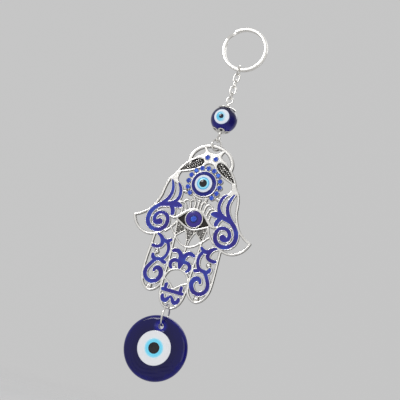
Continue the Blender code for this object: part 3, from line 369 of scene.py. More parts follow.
def eased(points, axes=2, step=0.25):
    """A smooth curve through given points, at even steps along it.

    Between two points it is the cubic with the points' slopes.
    A point's slope is taken from its neighbours.
    """
    points = np.asarray(points, float)
    gaps = np.linalg.norm(np.diff(points[:, :axes], axis=0), axis=1)
    along = np.concatenate([[0.0], np.cumsum(gaps)])
    slopes = np.gradient(points, along, axis=0, edge_order=min(2, len(points) - 1))
    at = np.linspace(0.0, along[-1], int(along[-1] / step) + 2)
    i = np.clip(np.searchsorted(along, at, "right") - 1, 0, len(gaps) - 1)
    gap = gaps[i][:, None]
    t = (at - along[i])[:, None] / gap
    return ((2 * t**3 - 3 * t**2 + 1) * points[i] + (t**3 - 2 * t**2 + t) * gap * slopes[i]
            + (3 * t**2 - 2 * t**3) * points[i + 1] + (t**3 - t**2) * gap * slopes[i + 1])


def woven(grid, round_rows=False, round_columns=False, capped=False):
    """Four-sided faces of a grid of points, closed round in either direction, with filled ends if capped."""
    rows, columns = grid.shape[:2]
    index = np.arange(rows * columns).reshape(rows, columns)
    faces = []
    if capped:
        faces = [index[:1, ::-1], index[-1:]]
    if round_rows:
        index = np.concatenate([index, index[:1]])
    if round_columns:
        index = np.concatenate([index, index[:, :1]], axis=1)
    corners = [index[:-1, :-1], index[:-1, 1:], index[1:, 1:], index[1:, :-1]]
    return grid.reshape(-1, 3), faces + [np.stack(corners, axis=-1).reshape(-1, 4)]


def turned(profile, steps, centre=(0.0, 0.0, 0.0)):
    """A profile of (radius, height) carried round an axis along -Y: (r cos a, -height, r sin a)."""
    profile = np.asarray(profile, float)
    angles = np.arange(steps) * math.tau / steps
    across = profile[:, :1] * np.cos(angles)
    up = profile[:, :1] * np.sin(angles)
    out = np.broadcast_to(profile[:, 1:], across.shape)
    return woven(np.stack([across, -out, up], axis=-1) + centre, round_columns=True, capped=True)


def spun(profile, angles):
    """Rows of points: a profile of (radius, height) carried round +Z, (r cos a, r sin a, height)."""
    across = profile[:, :1] * np.cos(angles)
    aside = profile[:, :1] * np.sin(angles)
    return np.stack([across, aside, np.broadcast_to(profile[:, 1:], across.shape)], axis=-1)


def carried(path, section, side, closed=False):
    """A closed section of (across, up) carried along a path.

    The section's first axis lies across the path.
    Its second lies along `side`, which is kept square to the path.
    """
    path = np.asarray(path, float)
    if closed:
        way = np.roll(path, -1, axis=0) - np.roll(path, 1, axis=0)
    else:
        way = np.gradient(path, axis=0)
    way /= np.linalg.norm(way, axis=1)[:, None]
    up = np.broadcast_to(np.asarray(side, float), way.shape)
    up = up - (up * way).sum(1)[:, None] * way
    up /= np.linalg.norm(up, axis=1)[:, None]
    across = np.cross(up, way)
    section = np.asarray(section, float)
    if section.ndim == 2:
        section = np.broadcast_to(section, (len(path), *section.shape))
    grid = path[:, None] + section[..., :1] * across[:, None] + section[..., 1:] * up[:, None]
    return woven(grid, round_rows=closed, round_columns=True, capped=not closed)


def round_section(radius, steps=WIRE_SIDES):
    """A circle of points."""
    angles = np.arange(steps) * math.tau / steps
    return radius * np.stack([np.cos(angles), np.sin(angles)], axis=1)


def filed_ends(sections, cut):
    """Sections that shrink over the first and last few along a wire, as if its cut ends were filed."""
    sections = np.array(sections)
    for i, share in enumerate(cut):
        sections[i] *= share
        sections[-1 - i] *= share
    return sections


def swirl(points, yaw):
    """Points turned about +Z by an angle in degrees."""
    a = math.radians(yaw)
    turn = np.array([[math.cos(a), math.sin(a), 0], [-math.sin(a), math.cos(a), 0], [0, 0, 1]])
    return points @ turn


def make_piece(name, shells, finish, body, nodes=(), sharp_deg=40.0, flat=False, traits=None):
    """Joins shells of (points, faces) into one welded mesh, faces outward, and puts it on its body."""
    points = np.concatenate([shell[0] for shell in shells])
    starts = np.cumsum([0] + [len(shell[0]) for shell in shells[:-1]])
    blocks = [block + start for shell, start in zip(shells, starts) for block in shell[1]]
    corners = np.concatenate([block.ravel() for block in blocks]).astype(np.int32)
    sizes = np.concatenate([np.full(len(block), block.shape[1]) for block in blocks])
    mesh = bpy.data.meshes.new(name)
    mesh.vertices.add(len(points))
    mesh.vertices.foreach_set("co", (points * MM).astype(np.float32).ravel())
    mesh.loops.add(len(corners))
    mesh.loops.foreach_set("vertex_index", corners)
    mesh.polygons.add(len(sizes))
    mesh.polygons.foreach_set("loop_start", (np.cumsum(sizes) - sizes).astype(np.int32))
    mesh.update(calc_edges=True)
    for trait, values in (traits or {}).items():
        held = mesh.attributes.new(trait, "FLOAT", "POINT")
        held.data.foreach_set("value", np.asarray(values, np.float32))
    work = bmesh.new()
    work.from_mesh(mesh)
    bmesh.ops.remove_doubles(work, verts=work.verts, dist=1e-7)
    bmesh.ops.recalc_face_normals(work, faces=work.faces)
    work.to_mesh(mesh)
    work.free()
    if flat:
        mesh.shade_flat()
    else:
        mesh.shade_smooth()
        mesh.set_sharp_from_angle(angle=math.radians(sharp_deg))
    mesh.materials.append(finish)
    piece = bpy.data.objects.new(f"{name}_dressed" if name in nodes else name, mesh)
    bpy.context.scene.collection.objects.link(piece)
    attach(piece, body)
    if nodes:
        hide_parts(*nodes)
    return piece


# Finishes

class Nodes:
    """A node tree, written as short calls; a value in it is a pair of a node and its output."""

    def __init__(self, owner):
        """The cleared tree of a material or a world."""
        owner.use_nodes = True
        self.tree = owner.node_tree
        self.tree.nodes.clear()

    def add(self, kind, **settings):
        """A new node with its settings."""
        node = self.tree.nodes.new(kind)
        for key, value in settings.items():
            setattr(node, key, value)
        return node

    def join(self, source, out, target, into):
        """A link from one node's output to another's input."""
        self.tree.links.new(source.outputs[out], target.inputs[into])

    def ramp(self, source, stops, smooth=False):
        """A colour ramp of (place, colour) stops; a plain number stands for a grey."""
        node = self.add("ShaderNodeValToRGB")
        node.color_ramp.interpolation = "EASE" if smooth else "LINEAR"
        marks = node.color_ramp.elements
        while len(marks) < len(stops):
            marks.new(0.5)
        for mark, (place, colour) in zip(marks, stops):
            mark.position = place
            mark.color = (colour,) * 3 + (1.0,) if isinstance(colour, float) else (*colour, 1.0)
        self.join(*source, node, "Fac")
        return node, "Color"

    def sum(self, first, second, kind="ADD"):
        """Two values added, or joined by another kind of sum; either may be a plain number."""
        node = self.add("ShaderNodeMath", operation=kind)
        for i, value in enumerate((first, second)):
            if isinstance(value, tuple):
                self.join(*value, node, i)
            else:
                node.inputs[i].default_value = value
        return node, "Value"


class Recipe(Nodes):
    """A material with one principled shader, its textures laid in the object's own frame."""

    def __init__(self, name):
        """The new material, its shader and the frame that its textures use."""
        self.material = bpy.data.materials.new(name)
        super().__init__(self.material)
        self.output = self.add("ShaderNodeOutputMaterial")
        self.shader = self.add("ShaderNodeBsdfPrincipled")
        self.join(self.shader, "BSDF", self.output, "Surface")
        self.place = self.add("ShaderNodeTexCoord")

    def fix(self, **values):
        """Values that are the same all over, set on the shader's own sockets."""
        for key, value in values.items():
            self.shader.inputs[key.replace("_", " ").title().replace("Ior", "IOR")].default_value = value
        return self

    def feed(self, source, socket):
        """A link from a value to the shader."""
        self.join(*source, self.shader, socket)

    def trait(self, name):
        """A value that the mesh carries."""
        return self.add("ShaderNodeAttribute", attribute_name=name), "Fac"

    def noise(self, size_mm, detail=2.0, roughness=0.5, squeeze=None):
        """Cloudy noise whose lumps are about size_mm across."""
        node = self.add("ShaderNodeTexNoise")
        node.inputs["Scale"].default_value = 1.0 / (size_mm * MM)
        node.inputs["Detail"].default_value = detail
        node.inputs["Roughness"].default_value = roughness
        if squeeze:
            mapping = self.add("ShaderNodeMapping")
            mapping.inputs["Scale"].default_value = squeeze
            self.join(self.place, "Object", mapping, "Vector")
            self.join(mapping, "Vector", node, "Vector")
        else:
            self.join(self.place, "Object", node, "Vector")
        return node, "Fac"

    def cloud(self, size_mm, detail, strength):
        """Noise from zero up to a strength."""
        return self.sum(self.noise(size_mm, detail), strength, "MULTIPLY")

    def drift(self, size_mm, detail, strength):
        """Noise about zero, a strength apart from lowest to highest."""
        return self.sum(self.sum(self.noise(size_mm, detail), 0.5, "SUBTRACT"), strength, "MULTIPLY")

    def from_axis(self, centre, flatten=(1.0, 0.0, 1.0)):
        """Distance in millimetres from an axis through a centre, along the direction that is flattened."""
        mapping = self.add("ShaderNodeMapping")
        mapping.inputs["Location"].default_value = [-c * f for c, f in zip(centre, flatten)]
        mapping.inputs["Scale"].default_value = [f / MM for f in flatten]
        self.join(self.place, "Object", mapping, "Vector")
        length = self.add("ShaderNodeVectorMath", operation="LENGTH")
        self.join(mapping, "Vector", length, 0)
        return length, "Value"

    def blend(self, share, low, high):
        """Two colours mixed by a share; each is a node's output or a plain colour."""
        node = self.add("ShaderNodeMix", data_type="RGBA")
        for value, socket in ((share, 0), (low, 6), (high, 7)):
            if isinstance(value[0], bpy.types.Node):
                self.join(*value, node, socket)
            else:
                node.inputs[socket].default_value = (*value, 1.0)
        return node, 2

    def bump(self, source, depth_mm):
        """Fine relief of a depth."""
        node = self.add("ShaderNodeBump")
        node.inputs["Distance"].default_value = depth_mm * MM
        node.inputs["Strength"].default_value = 1.0
        self.join(*source, node, "Height")
        self.join(node, "Normal", self.shader, "Normal")


def wire_silver():
    """Bright plated wire: warm silver with faint cloudy tone, uneven polish and fine drawn scratches."""
    mix = Recipe("wire_silver").fix(metallic=1.0)
    cloud = mix.noise(3.0, 3.0)
    mix.feed(mix.ramp(cloud, [(0.3, (0.70, 0.685, 0.655)), (0.7, (0.83, 0.815, 0.785))]), "Base Color")
    mix.feed(mix.ramp(mix.noise(1.2, 4.0, 0.6), [(0.3, 0.14), (0.75, 0.30)]), "Roughness")
    mix.bump(mix.noise(0.25, 2.0), 0.012)
    return mix.material


def cast_silver():
    """Plated casting: bright on the worn tops, blackened where it is sunk, darkened with painted shade along
    its outer edges and walls, and satin on its back.
    """
    mix = Recipe("cast_silver").fix(metallic=1.0)
    cloud = mix.noise(4.0, 3.0)
    bright = mix.ramp(cloud, [(0.3, (0.76, 0.745, 0.715)), (0.7, (0.88, 0.865, 0.835))])
    # patina in the hollows and sunk floors, and painted shade on the outer edges and walls, all carried by
    # the mesh
    patina_and_shade_share = mix.sum(mix.trait("patina_and_painted_shade"), mix.cloud(0.8, 3.0, 0.35))
    dark = mix.ramp(patina_and_shade_share, [(0.22, 0.0), (0.85, 1.0)], smooth=True)
    mix.feed(mix.blend(dark, bright, (0.028, 0.026, 0.025)), "Base Color")
    polish = mix.ramp(patina_and_shade_share, [(0.1, 0.15), (0.9, 0.5)])
    mix.feed(mix.sum(polish, mix.sum(mix.trait("satin"), 0.26, "MULTIPLY")), "Roughness")
    mix.bump(mix.noise(0.5, 2.0), 0.012)
    return mix.material


def blue_enamel():
    """Opaque royal blue enamel under a gloss: violet where deep, lighter where it thins out to the rim."""
    mix = Recipe("blue_enamel").fix(roughness=0.14, ior=1.44)
    tone = mix.sum(mix.noise(10.0, 1.5), mix.sum(mix.trait("thin"), 0.16, "MULTIPLY"))
    mix.feed(mix.ramp(tone, [(0.34, (0.024, 0.012, 0.20)), (0.56, (0.026, 0.024, 0.29)),
                             (0.84, (0.034, 0.090, 0.47))]), "Base Color")
    mix.bump(mix.noise(1.6, 1.0), 0.03)
    return mix.material


def violet_enamel():
    """Violet blue enamel of the iris, darkest where it meets the stone and toward its rim."""
    mix = Recipe("violet_enamel").fix(roughness=0.12, ior=1.44)
    away = mix.from_axis((0.0, 0.0, IRIS_CENTRE[1] + HAMSA_Z))
    away = mix.sum(away, mix.drift(1.5, 2.0, 0.6))
    tones = [(0.40, (0.006, 0.008, 0.075)), (0.50, (0.030, 0.018, 0.20)), (0.80, (0.040, 0.022, 0.25)),
             (1.0, (0.020, 0.014, 0.17))]
    mix.feed(mix.ramp(mix.sum(away, IRIS_RADIUS, "DIVIDE"), tones), "Base Color")
    return mix.material


def sapphire():
    """Foiled blue stone: each cut face is painted a random depth of blue, a painted sparkle of light caught
    by the facets.
    """
    mix = Recipe("sapphire").fix(roughness=0.04, ior=1.6)
    depth = mix.sum(mix.trait("facet_sparkle"), mix.cloud(0.5, 1.0, 0.3))
    mix.feed(mix.ramp(depth, [(0.15, (0.002, 0.008, 0.14)), (0.55, (0.005, 0.045, 0.55)),
                              (1.0, (0.06, 0.24, 0.90))]), "Base Color")
    return mix.material


def eye_glass(name, centre, stops):
    """Glass whose colour changes with the distance from the eye's axis, by stops of (distance, colour)."""
    mix = Recipe(name).fix(roughness=0.05, ior=1.42)
    away = mix.sum(mix.from_axis(centre), mix.drift(2.5, 2.0, 0.5))
    share = mix.sum(away, EYE_REACH, "DIVIDE")
    mix.feed(mix.ramp(share, [(place / EYE_REACH, colour) for place, colour in stops]), "Base Color")
    return mix.material


def pupil_glass():
    """Black glass with a faint cloud in it."""
    mix = Recipe("pupil_glass").fix(roughness=0.06, ior=1.42)
    tones = [(0.3, (0.006, 0.006, 0.009)), (0.7, (0.016, 0.015, 0.018))]
    mix.feed(mix.ramp(mix.noise(1.5, 2.0), tones), "Base Color")
    return mix.material


WIRE = wire_silver()
CAST = cast_silver()
ENAMEL = blue_enamel()
IRIS = violet_enamel()
STONE = sapphire()
PUPIL = pupil_glass()


# Rings, chain and pin

BACKWARD = np.array([[0.0, 1.0, 0.0]])


def jump_ring(name, size, height, yaw):
    """A round wire carried round a circle, slit at one side, with filed ends."""
    bore, wire = size
    middle = bore + wire
    slit = RING_SLIT / middle / 2
    angles = np.linspace(slit, math.tau - slit, RING_STEPS)
    path = np.stack([middle * np.cos(angles), 0 * angles, middle * np.sin(angles)], axis=1)
    path = swirl(path, yaw) + (0, 0, height)
    side = swirl(BACKWARD, yaw)[0]
    sections = filed_ends(np.broadcast_to(round_section(wire), (len(path), WIRE_SIDES, 2)), RING_FILING)
    make_piece(name, [carried(path, sections, side)], WIRE, name, [name])


def chain_link(i):
    """A round wire carried round an oval of two straight sides and two half circles."""
    bend = LINK_HALF_WIDTH + LINK_WIRE
    straight = LINK_HALF_HEIGHT - LINK_HALF_WIDTH
    angles = np.linspace(0, math.pi, LINK_BEND_STEPS)
    top = np.stack([bend * np.cos(angles), 0 * angles, straight + bend * np.sin(angles)], axis=1)
    yaw = 90.0 * (i % 2)
    path = swirl(np.concatenate([top, -top]), yaw) + (0, 0, LINK_Z[i])
    side = swirl(BACKWARD, yaw)[0]
    name = f"chain_link_{i + 1}"
    shell = carried(path, round_section(LINK_WIRE), side, closed=True)
    make_piece(name, [shell], WIRE, name, [name])


def key_ring():
    """A flat wire's rounded section carried twice round a circle, climbing from one turn to the other."""
    middle = KEY_BORE_RADIUS + KEY_WIRE_WIDTH / 2
    rise = KEY_WIRE_THICKNESS + KEY_TURN_GAP
    degrees = np.linspace(KEY_END_DEG, 720 - KEY_END_DEG, KEY_STEPS)
    climb = np.clip((degrees - 360 + KEY_CLIMB_DEG) / (2 * KEY_CLIMB_DEG), 0, 1)
    height = rise * (climb * climb * (3 - 2 * climb) - 0.5)
    angles = np.radians(degrees + KEY_CROSSING_DEG)
    path = np.stack([middle * np.cos(angles), -height, middle * np.sin(angles) + KEY_RING_Z], axis=1)
    circle = round_section(1.0, KEY_SIDES)
    half_size = np.array([KEY_WIRE_WIDTH, KEY_WIRE_THICKNESS]) / 2
    section = half_size * np.sign(circle) * np.abs(circle) ** KEY_EDGE_POWER
    sections = filed_ends(np.broadcast_to(section, (len(path), KEY_SIDES, 2)), KEY_FILING)
    shell = carried(path, sections, BACKWARD[0])
    make_piece("key_ring", [shell], WIRE, "key_ring", ["key_ring"])


def eye_pin():
    """A round wire carried up a straight stem and round a loop at each end, the loops in different planes."""
    sweep = np.radians(np.linspace(PIN_LOOP_START_DEG - 90, 270 - PIN_LOOP_START_DEG, PIN_LOOP_STEPS))
    curl = np.stack([PIN_LOOP_RADIUS * np.cos(sweep), 0 * sweep, PIN_LOOP_RADIUS * np.sin(sweep)], axis=1)
    low_curl = swirl(curl * (1, 1, -1), LOW_LOOP_TURN_DEG)
    neck = PIN_REACH - PIN_LOOP_RADIUS - 2 * PIN_WIRE
    stem = np.zeros((PIN_STEM_STEPS, 3))
    stem[:, 2] = np.linspace(-neck, neck, PIN_STEM_STEPS)
    marks = np.concatenate([(low_curl - (0, 0, PIN_REACH))[::-1], stem, curl + (0, 0, PIN_REACH)])
    path = eased(marks, axes=3, step=PIN_STEP) + (0, 0, BEAD_Z)
    share = np.clip((path[:, 2] - BEAD_Z) / neck, -1, 1)[:, None] / 2 + 0.5
    side = swirl(BACKWARD, LOW_LOOP_TURN_DEG) * (1 - share) + BACKWARD * share
    sections = filed_ends(np.broadcast_to(round_section(PIN_WIRE), (len(path), WIRE_SIDES, 2)), PIN_FILING)
    make_piece("eye_pin", [carried(path, sections, side)], WIRE, "eye_pin", ["eye_pin"])


# Glass eyes

def eye_layers(prefix, centre, radii, surface, body, mats, steps):
    """Three glass layers, each a cap of the surface, a little proud of the one round it and sunk into it."""
    layers = (("white", "white_glass"), ("blue", "light_blue_glass"), ("pupil", "black_glass"))
    for i, ((layer, slot), radius) in enumerate(zip(layers, radii)):
        proud = EYE_PROUD * (i + 1)
        r = radius * np.sin(np.linspace(EYE_START, 1, EYE_ROWS) * math.pi / 2)
        edge = np.clip((radius - r) / EYE_EDGE, 0, 1)
        front = np.stack([r, surface(r) + proud * np.sqrt(edge)], axis=1)
        foot = radius * EYE_FOOT
        sunk = surface(np.array([foot]))[0] - EYE_SUNK
        profile = np.concatenate([front, [(foot, sunk), (radius * EYE_UNDER, sunk)]])
        name = f"{prefix}_{layer}"
        make_piece(name, [turned(profile, steps, centre)], mats[i], body, [name])


def bead():
    """A ball of glass with a hole: longitude and latitude on a sphere, and a tube through it for the pin."""
    start = math.asin(BEAD_HOLE_RADIUS / BEAD_RADIUS)
    lat = np.linspace(start, math.pi - start, BEAD_ROWS)
    outer = BEAD_RADIUS * np.stack([np.sin(lat), np.cos(lat)], axis=1)
    down = np.linspace(-1, 1, BEAD_TUBE_ROWS + 2)[1:-1] * BEAD_RADIUS * math.cos(start)
    tube = np.stack([np.full(BEAD_TUBE_ROWS, BEAD_HOLE_RADIUS), down], axis=1)
    angles = np.arange(BEAD_STEPS) * math.tau / BEAD_STEPS
    grid = spun(np.concatenate([outer, tube]), angles)
    centre = (0.0, 0.0, BEAD_Z)
    shell = woven(grid + centre, round_rows=True, round_columns=True)
    make_piece("bead_glass", [shell], bead_cobalt(), "bead", ["bead_glass"])

    def surface(r):
        return np.sqrt(BEAD_RADIUS**2 - r * r)

    white = eye_glass("bead_white", centre, [(0.0, (0.80, 0.86, 0.92)), (4.2, (0.82, 0.86, 0.92)),
                                             (4.6, (0.55, 0.66, 0.86))])
    blue = bead_iris(centre)
    navy = eye_glass("bead_pupil", centre, [(0.0, (0.006, 0.006, 0.012)), (1.1, (0.008, 0.010, 0.03)),
                                            (1.5, (0.02, 0.05, 0.16))])
    eye_layers("bead_eye", centre, BEAD_EYE, surface, "bead", (white, blue, navy), steps=64)


def bead_cobalt():
    """Cobalt glass, near black above and clearer royal blue below where light gathers in the ball."""
    mix = Recipe("bead_cobalt").fix(roughness=0.04, ior=1.42)
    mapping = mix.add("ShaderNodeMapping")
    mapping.inputs["Location"].default_value = (0.0, 0.0, -BEAD_Z * MM)
    mix.join(mix.place, "Object", mapping, "Vector")
    parts = mix.add("ShaderNodeSeparateXYZ")
    mix.join(mapping, "Vector", parts, "Vector")
    height = mix.sum((parts, "Z"), 1.0 / (2 * BEAD_RADIUS * MM), "MULTIPLY")
    height = mix.sum(height, mix.cloud(5.0, 1.5, 0.18))
    height = mix.sum(height, 0.45)
    tones = [(0.1, (0.008, 0.006, 0.21)), (0.45, (0.006, 0.004, 0.10)), (0.9, (0.006, 0.004, 0.045))]
    mix.feed(mix.ramp(height, tones, smooth=True), "Base Color")
    mix.bump(mix.noise(4.0, 1.0), 0.04)
    return mix.material


def bead_iris(centre):
    """The bead's light blue layer, stronger to one side and fading into the white on the other."""
    mix = Recipe("bead_iris").fix(roughness=0.05, ior=1.42)
    aside = [centre[0] - 1.5, centre[1], centre[2] - 0.6]
    away = mix.sum(mix.from_axis(aside), 6.0, "DIVIDE")
    away = mix.sum(away, mix.cloud(1.6, 2.0, 0.12))
    tones = [(0.1, (0.10, 0.55, 0.82)), (0.45, (0.22, 0.66, 0.88)), (0.85, (0.78, 0.86, 0.92))]
    mix.feed(mix.ramp(away, tones, smooth=True), "Base Color")
    return mix.material


def petal_cap(name, side):
    """A cupped flower on the bead, whose rim swings between notch and tip.

    Each petal is a raised ring round a hollow, by the distance from the petal's middle, and lifts at its tip.
    """
    angles = np.arange(CAP_STEPS) * math.tau / CAP_STEPS
    swell = np.abs(np.cos(angles * CAP_PETALS / 2)) ** 0.6
    rim = CAP_PETAL_NOTCH + (CAP_PETAL_TIP - CAP_PETAL_NOTCH) * swell
    t = np.linspace(0, 1, CAP_ROWS)[:, None]
    r = CAP_COLLAR_RADIUS + t * (rim - CAP_COLLAR_RADIUS)
    x, y = r * np.cos(angles), r * np.sin(angles)
    petal = np.round(angles / (math.tau / CAP_PETALS)) * math.tau / CAP_PETALS
    away = np.hypot(x - PETAL_MIDDLE * np.cos(petal), y - PETAL_MIDDLE * np.sin(petal)) / PETAL_RADIUS
    ring = np.exp(-((away - PETAL_RING) / 0.2) ** 2)
    hollow = np.clip(1 - away / PETAL_HOLLOW, 0, 1) ** 0.6
    tip = np.clip((r - PETAL_TIP_FROM) / PETAL_TIP_LENGTH, 0, 1) ** 2
    inner = BEAD_RADIUS + CAP_SEAT
    shape = PETAL_BODY + PETAL_RING_RISE * ring - PETAL_HOLLOW_SINK * hollow
    outer = inner + CAP_THICKNESS * shape + PETAL_LIFT * tip
    under = np.maximum(inner + PETAL_UNDER_LIFT * tip, outer - PETAL_MOST)
    drop = np.sqrt(inner**2 - r * r) / inner

    def on_ball(height):
        spread = height * r / inner
        return np.stack([spread * np.cos(angles), spread * np.sin(angles), height * drop], axis=-1)

    top = inner + CAP_THICKNESS + CAP_COLLAR_HEIGHT
    collar = np.array([(CAP_BORE, top - 0.12), (CAP_BORE + 0.12, top), (CAP_COLLAR_RADIUS - 0.12, top),
                       (CAP_COLLAR_RADIUS + 0.03, top - 0.15), (CAP_COLLAR_RADIUS + 0.05, top - 0.4),
                       (CAP_COLLAR_RADIUS - 0.05, top - 0.55)])
    low = np.array([(CAP_BORE, math.sqrt(inner**2 - CAP_BORE**2))])
    grid = np.concatenate([spun(collar, angles), on_ball(outer), on_ball(under)[::-1], spun(low, angles)])
    dark = np.zeros(grid.shape[:2])
    gap = np.clip(1 - ring * 1.6, 0, 1)
    dark[len(collar):len(collar) + CAP_ROWS] = np.clip(1.3 * hollow + 0.25 * gap, 0, 1)
    grid[..., 1:] *= side
    shell = woven(grid + (0, 0, BEAD_Z), round_rows=True, round_columns=True)
    make_piece(name, [shell], CAST, "bead", [name], traits={"patina_and_painted_shade": dark.ravel()})


def disc_face(r):
    """Height of the disc's face over its middle plane, a low dome."""
    return DISC_THICKNESS / 2 - DISC_CROWN * (r / DISC_RADIUS) ** 2


def disc():
    """Glass disc: circles that slide from the hole out to the rim on both faces, joined at edge and hole.

    A circle's middle and radius go evenly from the hole's to the face's, so the circles never cross.
    The face sinks to a dimple round the hole, with a lip, and carries low waves and streaks beyond the eye.
    """
    flat = DISC_RADIUS - DISC_RIM_RADIUS
    shoulder = disc_face(flat)
    angles = np.arange(DISC_STEPS) * math.tau / DISC_STEPS

    def face(rows):
        t = (np.linspace(0, 1, rows) ** 1.2)[:, None]
        radius = DISC_HOLE_RADIUS * (1 - t) + flat * t
        x = radius * np.sin(angles)
        z = DISC_HOLE_FROM_CENTRE * (1 - t) + radius * np.cos(angles)
        from_centre = np.hypot(x, z)
        from_hole = np.hypot(x, z - DISC_HOLE_FROM_CENTRE)
        beyond_eye = np.clip((from_centre - DISC_EYE[0] - 0.15) / 1.2, 0, 1)
        sunk = np.clip(1 - (from_hole - DISC_HOLE_RADIUS) / DISC_DIMPLE_REACH, 0, 1) ** 2
        lip = np.exp(-((from_hole - DISC_LIP_RADIUS) / DISC_LIP_WIDTH) ** 2)
        round_hole = (DISC_LIP_HEIGHT * lip - DISC_DIMPLE_DEPTH * sunk) * beyond_eye
        clear = np.clip((from_centre - DISC_MARKS_FROM) / 2.0, 0, 1)
        clear = clear * np.clip((flat + 0.5 - from_centre) / 2.0, 0, 1)
        waves = DISC_WAVE_HEIGHT * np.sin(0.55 * x + 0.8) * np.sin(0.47 * z + 0.4) * clear
        low = np.clip((3.0 - z) / 5.0, 0, 1)
        swept = np.exp(-(((x - 9.0) / 5.5) ** 2) - ((z + 9.0) / 4.5) ** 2)
        rings = DISC_RINGS_HEIGHT * np.sin(2.8 * from_centre + 2.0 * np.sin(0.31 * x + 0.5) + 0.11 * z)
        sweep = DISC_SWEEP_HEIGHT * np.sin(2.6 * z - 1.0 * x)
        marks = (rings * (1 - swept) + sweep * swept) * low * clear
        return x, z, disc_face(from_centre) + round_hole + waves, marks

    x, z, height, marks = face(DISC_FRONT_ROWS)
    front = np.stack([x, -(height + marks), z], axis=-1)
    x, z, height, _ = face(DISC_BACK_ROWS)
    back = np.stack([x, height, z], axis=-1)
    rim = np.radians(np.linspace(90, -90, DISC_RIM_ROWS + 2)[1:-1])[:, None]
    wobble = 1 + 0.004 * np.sin(2 * angles + 0.6) + 0.003 * np.sin(5 * angles)
    edge_r = flat + DISC_RIM_RADIUS * np.cos(rim) * wobble
    edge_y = np.broadcast_to(-shoulder * np.sin(rim), edge_r.shape)
    edge = np.stack([edge_r * np.sin(angles), edge_y, edge_r * np.cos(angles)], axis=-1)
    depth = np.linspace(1, -1, DISC_THROAT_ROWS + 2)[1:-1, None] * (shoulder - DISC_DIMPLE_DEPTH)
    hole = DISC_HOLE_RADIUS * np.stack([np.sin(angles), 0 * angles, np.cos(angles)], axis=-1)
    throat = np.broadcast_to(hole + (0, 0, DISC_HOLE_FROM_CENTRE), (DISC_THROAT_ROWS, *hole.shape)).copy()
    throat[..., 1] = depth
    grid = np.concatenate([front, edge, back[::-1], throat])
    centre = (0.0, 0.0, DISC_Z)
    shell = woven(grid + centre, round_rows=True, round_columns=True)
    make_piece("disc_glass", [shell], disc_navy(centre), "disc", ["disc_glass"], sharp_deg=60)
    white = eye_glass("disc_white", centre, [(0.0, (0.80, 0.83, 0.86)), (5.4, (0.70, 0.84, 0.90)),
                                             (6.6, (0.80, 0.82, 0.84)), (9.6, (0.80, 0.81, 0.83)),
                                             (10.2, (0.62, 0.66, 0.74))])
    blue = eye_glass("disc_blue", centre, [(0.0, (0.16, 0.70, 0.95)), (4.6, (0.18, 0.72, 0.96)),
                                           (5.6, (0.45, 0.80, 0.95))])
    eye_layers("disc_eye", centre, DISC_EYE, disc_face, "disc", (white, blue, PUPIL), steps=96)


def disc_navy(centre):
    """Navy glass, fire-polished: nearly black in the thick middle, with a painted glow of light through the
    glass as clearer cobalt toward the thin rim and round the hole.
    """
    mix = Recipe("disc_navy").fix(roughness=0.05, ior=1.38)
    away = mix.sum(mix.from_axis(centre), EYE_REACH, "DIVIDE")
    away = mix.sum(away, mix.drift(6.0, 2.0, 0.25))
    # painted glow: the thin rim lighter, as if lit through
    tones = [(0.5, (0.004, 0.003, 0.055)), (0.82, (0.004, 0.003, 0.075)), (0.98, (0.006, 0.005, 0.16))]
    body = mix.ramp(away, tones, smooth=True)
    hole = [centre[0], centre[1], centre[2] + DISC_HOLE_FROM_CENTRE]
    # painted glow: clearer cobalt round the hole, as if light came through the thin dimple
    hole_glow_distance = mix.sum(mix.from_axis(hole), 10.0, "DIVIDE")
    thin = mix.ramp(hole_glow_distance, [(0.15, 1.0), (0.48, 0.0)], smooth=True)
    mix.feed(mix.blend(thin, body, (0.010, 0.012, 0.30)), "Base Color")
    mix.bump(mix.noise(7.0, 1.5, 0.5, (1.0, 1.0, 2.0)), 0.14)
    return mix.material


# Hamsa

PITCH = 0.15
BOARD_COLUMNS = 254
BOARD_LOW, BOARD_HIGH = -52.0, 51.2
COLUMNS = -PITCH * np.arange(BOARD_COLUMNS)[::-1]
ROWS = np.arange(BOARD_LOW, BOARD_HIGH, PITCH)
FAR = 9.0
REACH = 1.6
SNAP_SHARE = 0.52
LEAST_STEEP = 0.2
WALL_MIDDLE = 0.3


def near(low, high, reach):
    """The board's rows and columns within reach of a box."""
    columns = np.searchsorted(COLUMNS, (low[0] - reach, high[0] + reach))
    rows = np.searchsorted(ROWS, (low[1] - reach, high[1] + reach))
    return np.s_[rows[0]:rows[1], columns[0]:columns[1]]


def from_sides(u, v, start, way):
    """From each point to each side: the way from its start, the nearest share along it and the distance."""
    du = u[..., None] - start[:, 0]
    dv = v[..., None] - start[:, 1]
    share = np.clip((du * way[:, 0] + dv * way[:, 1]) / (way[:, :2] ** 2).sum(1), 0, 1)
    return du, dv, share, np.hypot(du - share * way[:, 0], dv - share * way[:, 1])


def off_line(u, v, points, width=None):
    """Distance from the edge of a drawn line, below zero inside.

    It is the distance to the nearest place of the line's middle, less half the width there.
    """
    if width:
        points = [(*point, width) for point in points]
    run = eased(points)
    start, way = run[:-1], np.diff(run, axis=0)
    part = near(run[:, :2].min(0), run[:, :2].max(0), run[:, 2].max() / 2 + REACH)
    away = np.full(u.shape, FAR)
    _, _, share, gap = from_sides(u[part], v[part], start, way)
    if gap.size:
        away[part] = (gap - (start[:, 2] + share * way[:, 2]) / 2).min(-1)
    return away


def off_plate(u, v, outline):
    """Distance from a plate's edge, to the nearest of its sides.

    It is below zero inside, where a ray crosses an odd number of sides.
    """
    start = np.asarray(outline, float)
    way = np.roll(start, -1, axis=0) - start
    part = near(start.min(0), start.max(0), REACH)
    away = np.full(u.shape, FAR)
    du, dv, _, gaps = from_sides(u[part], v[part], start, way)
    gap = gaps.min(-1)
    rising = (dv >= 0) != (dv - way[:, 1] >= 0)
    level = np.where(np.abs(way[:, 1]) < 1e-9, 1e-9, way[:, 1])
    crossed = rising & (du < dv / level * way[:, 0])
    away[part] = np.where(crossed.sum(-1) % 2 == 1, -gap, gap)
    return away


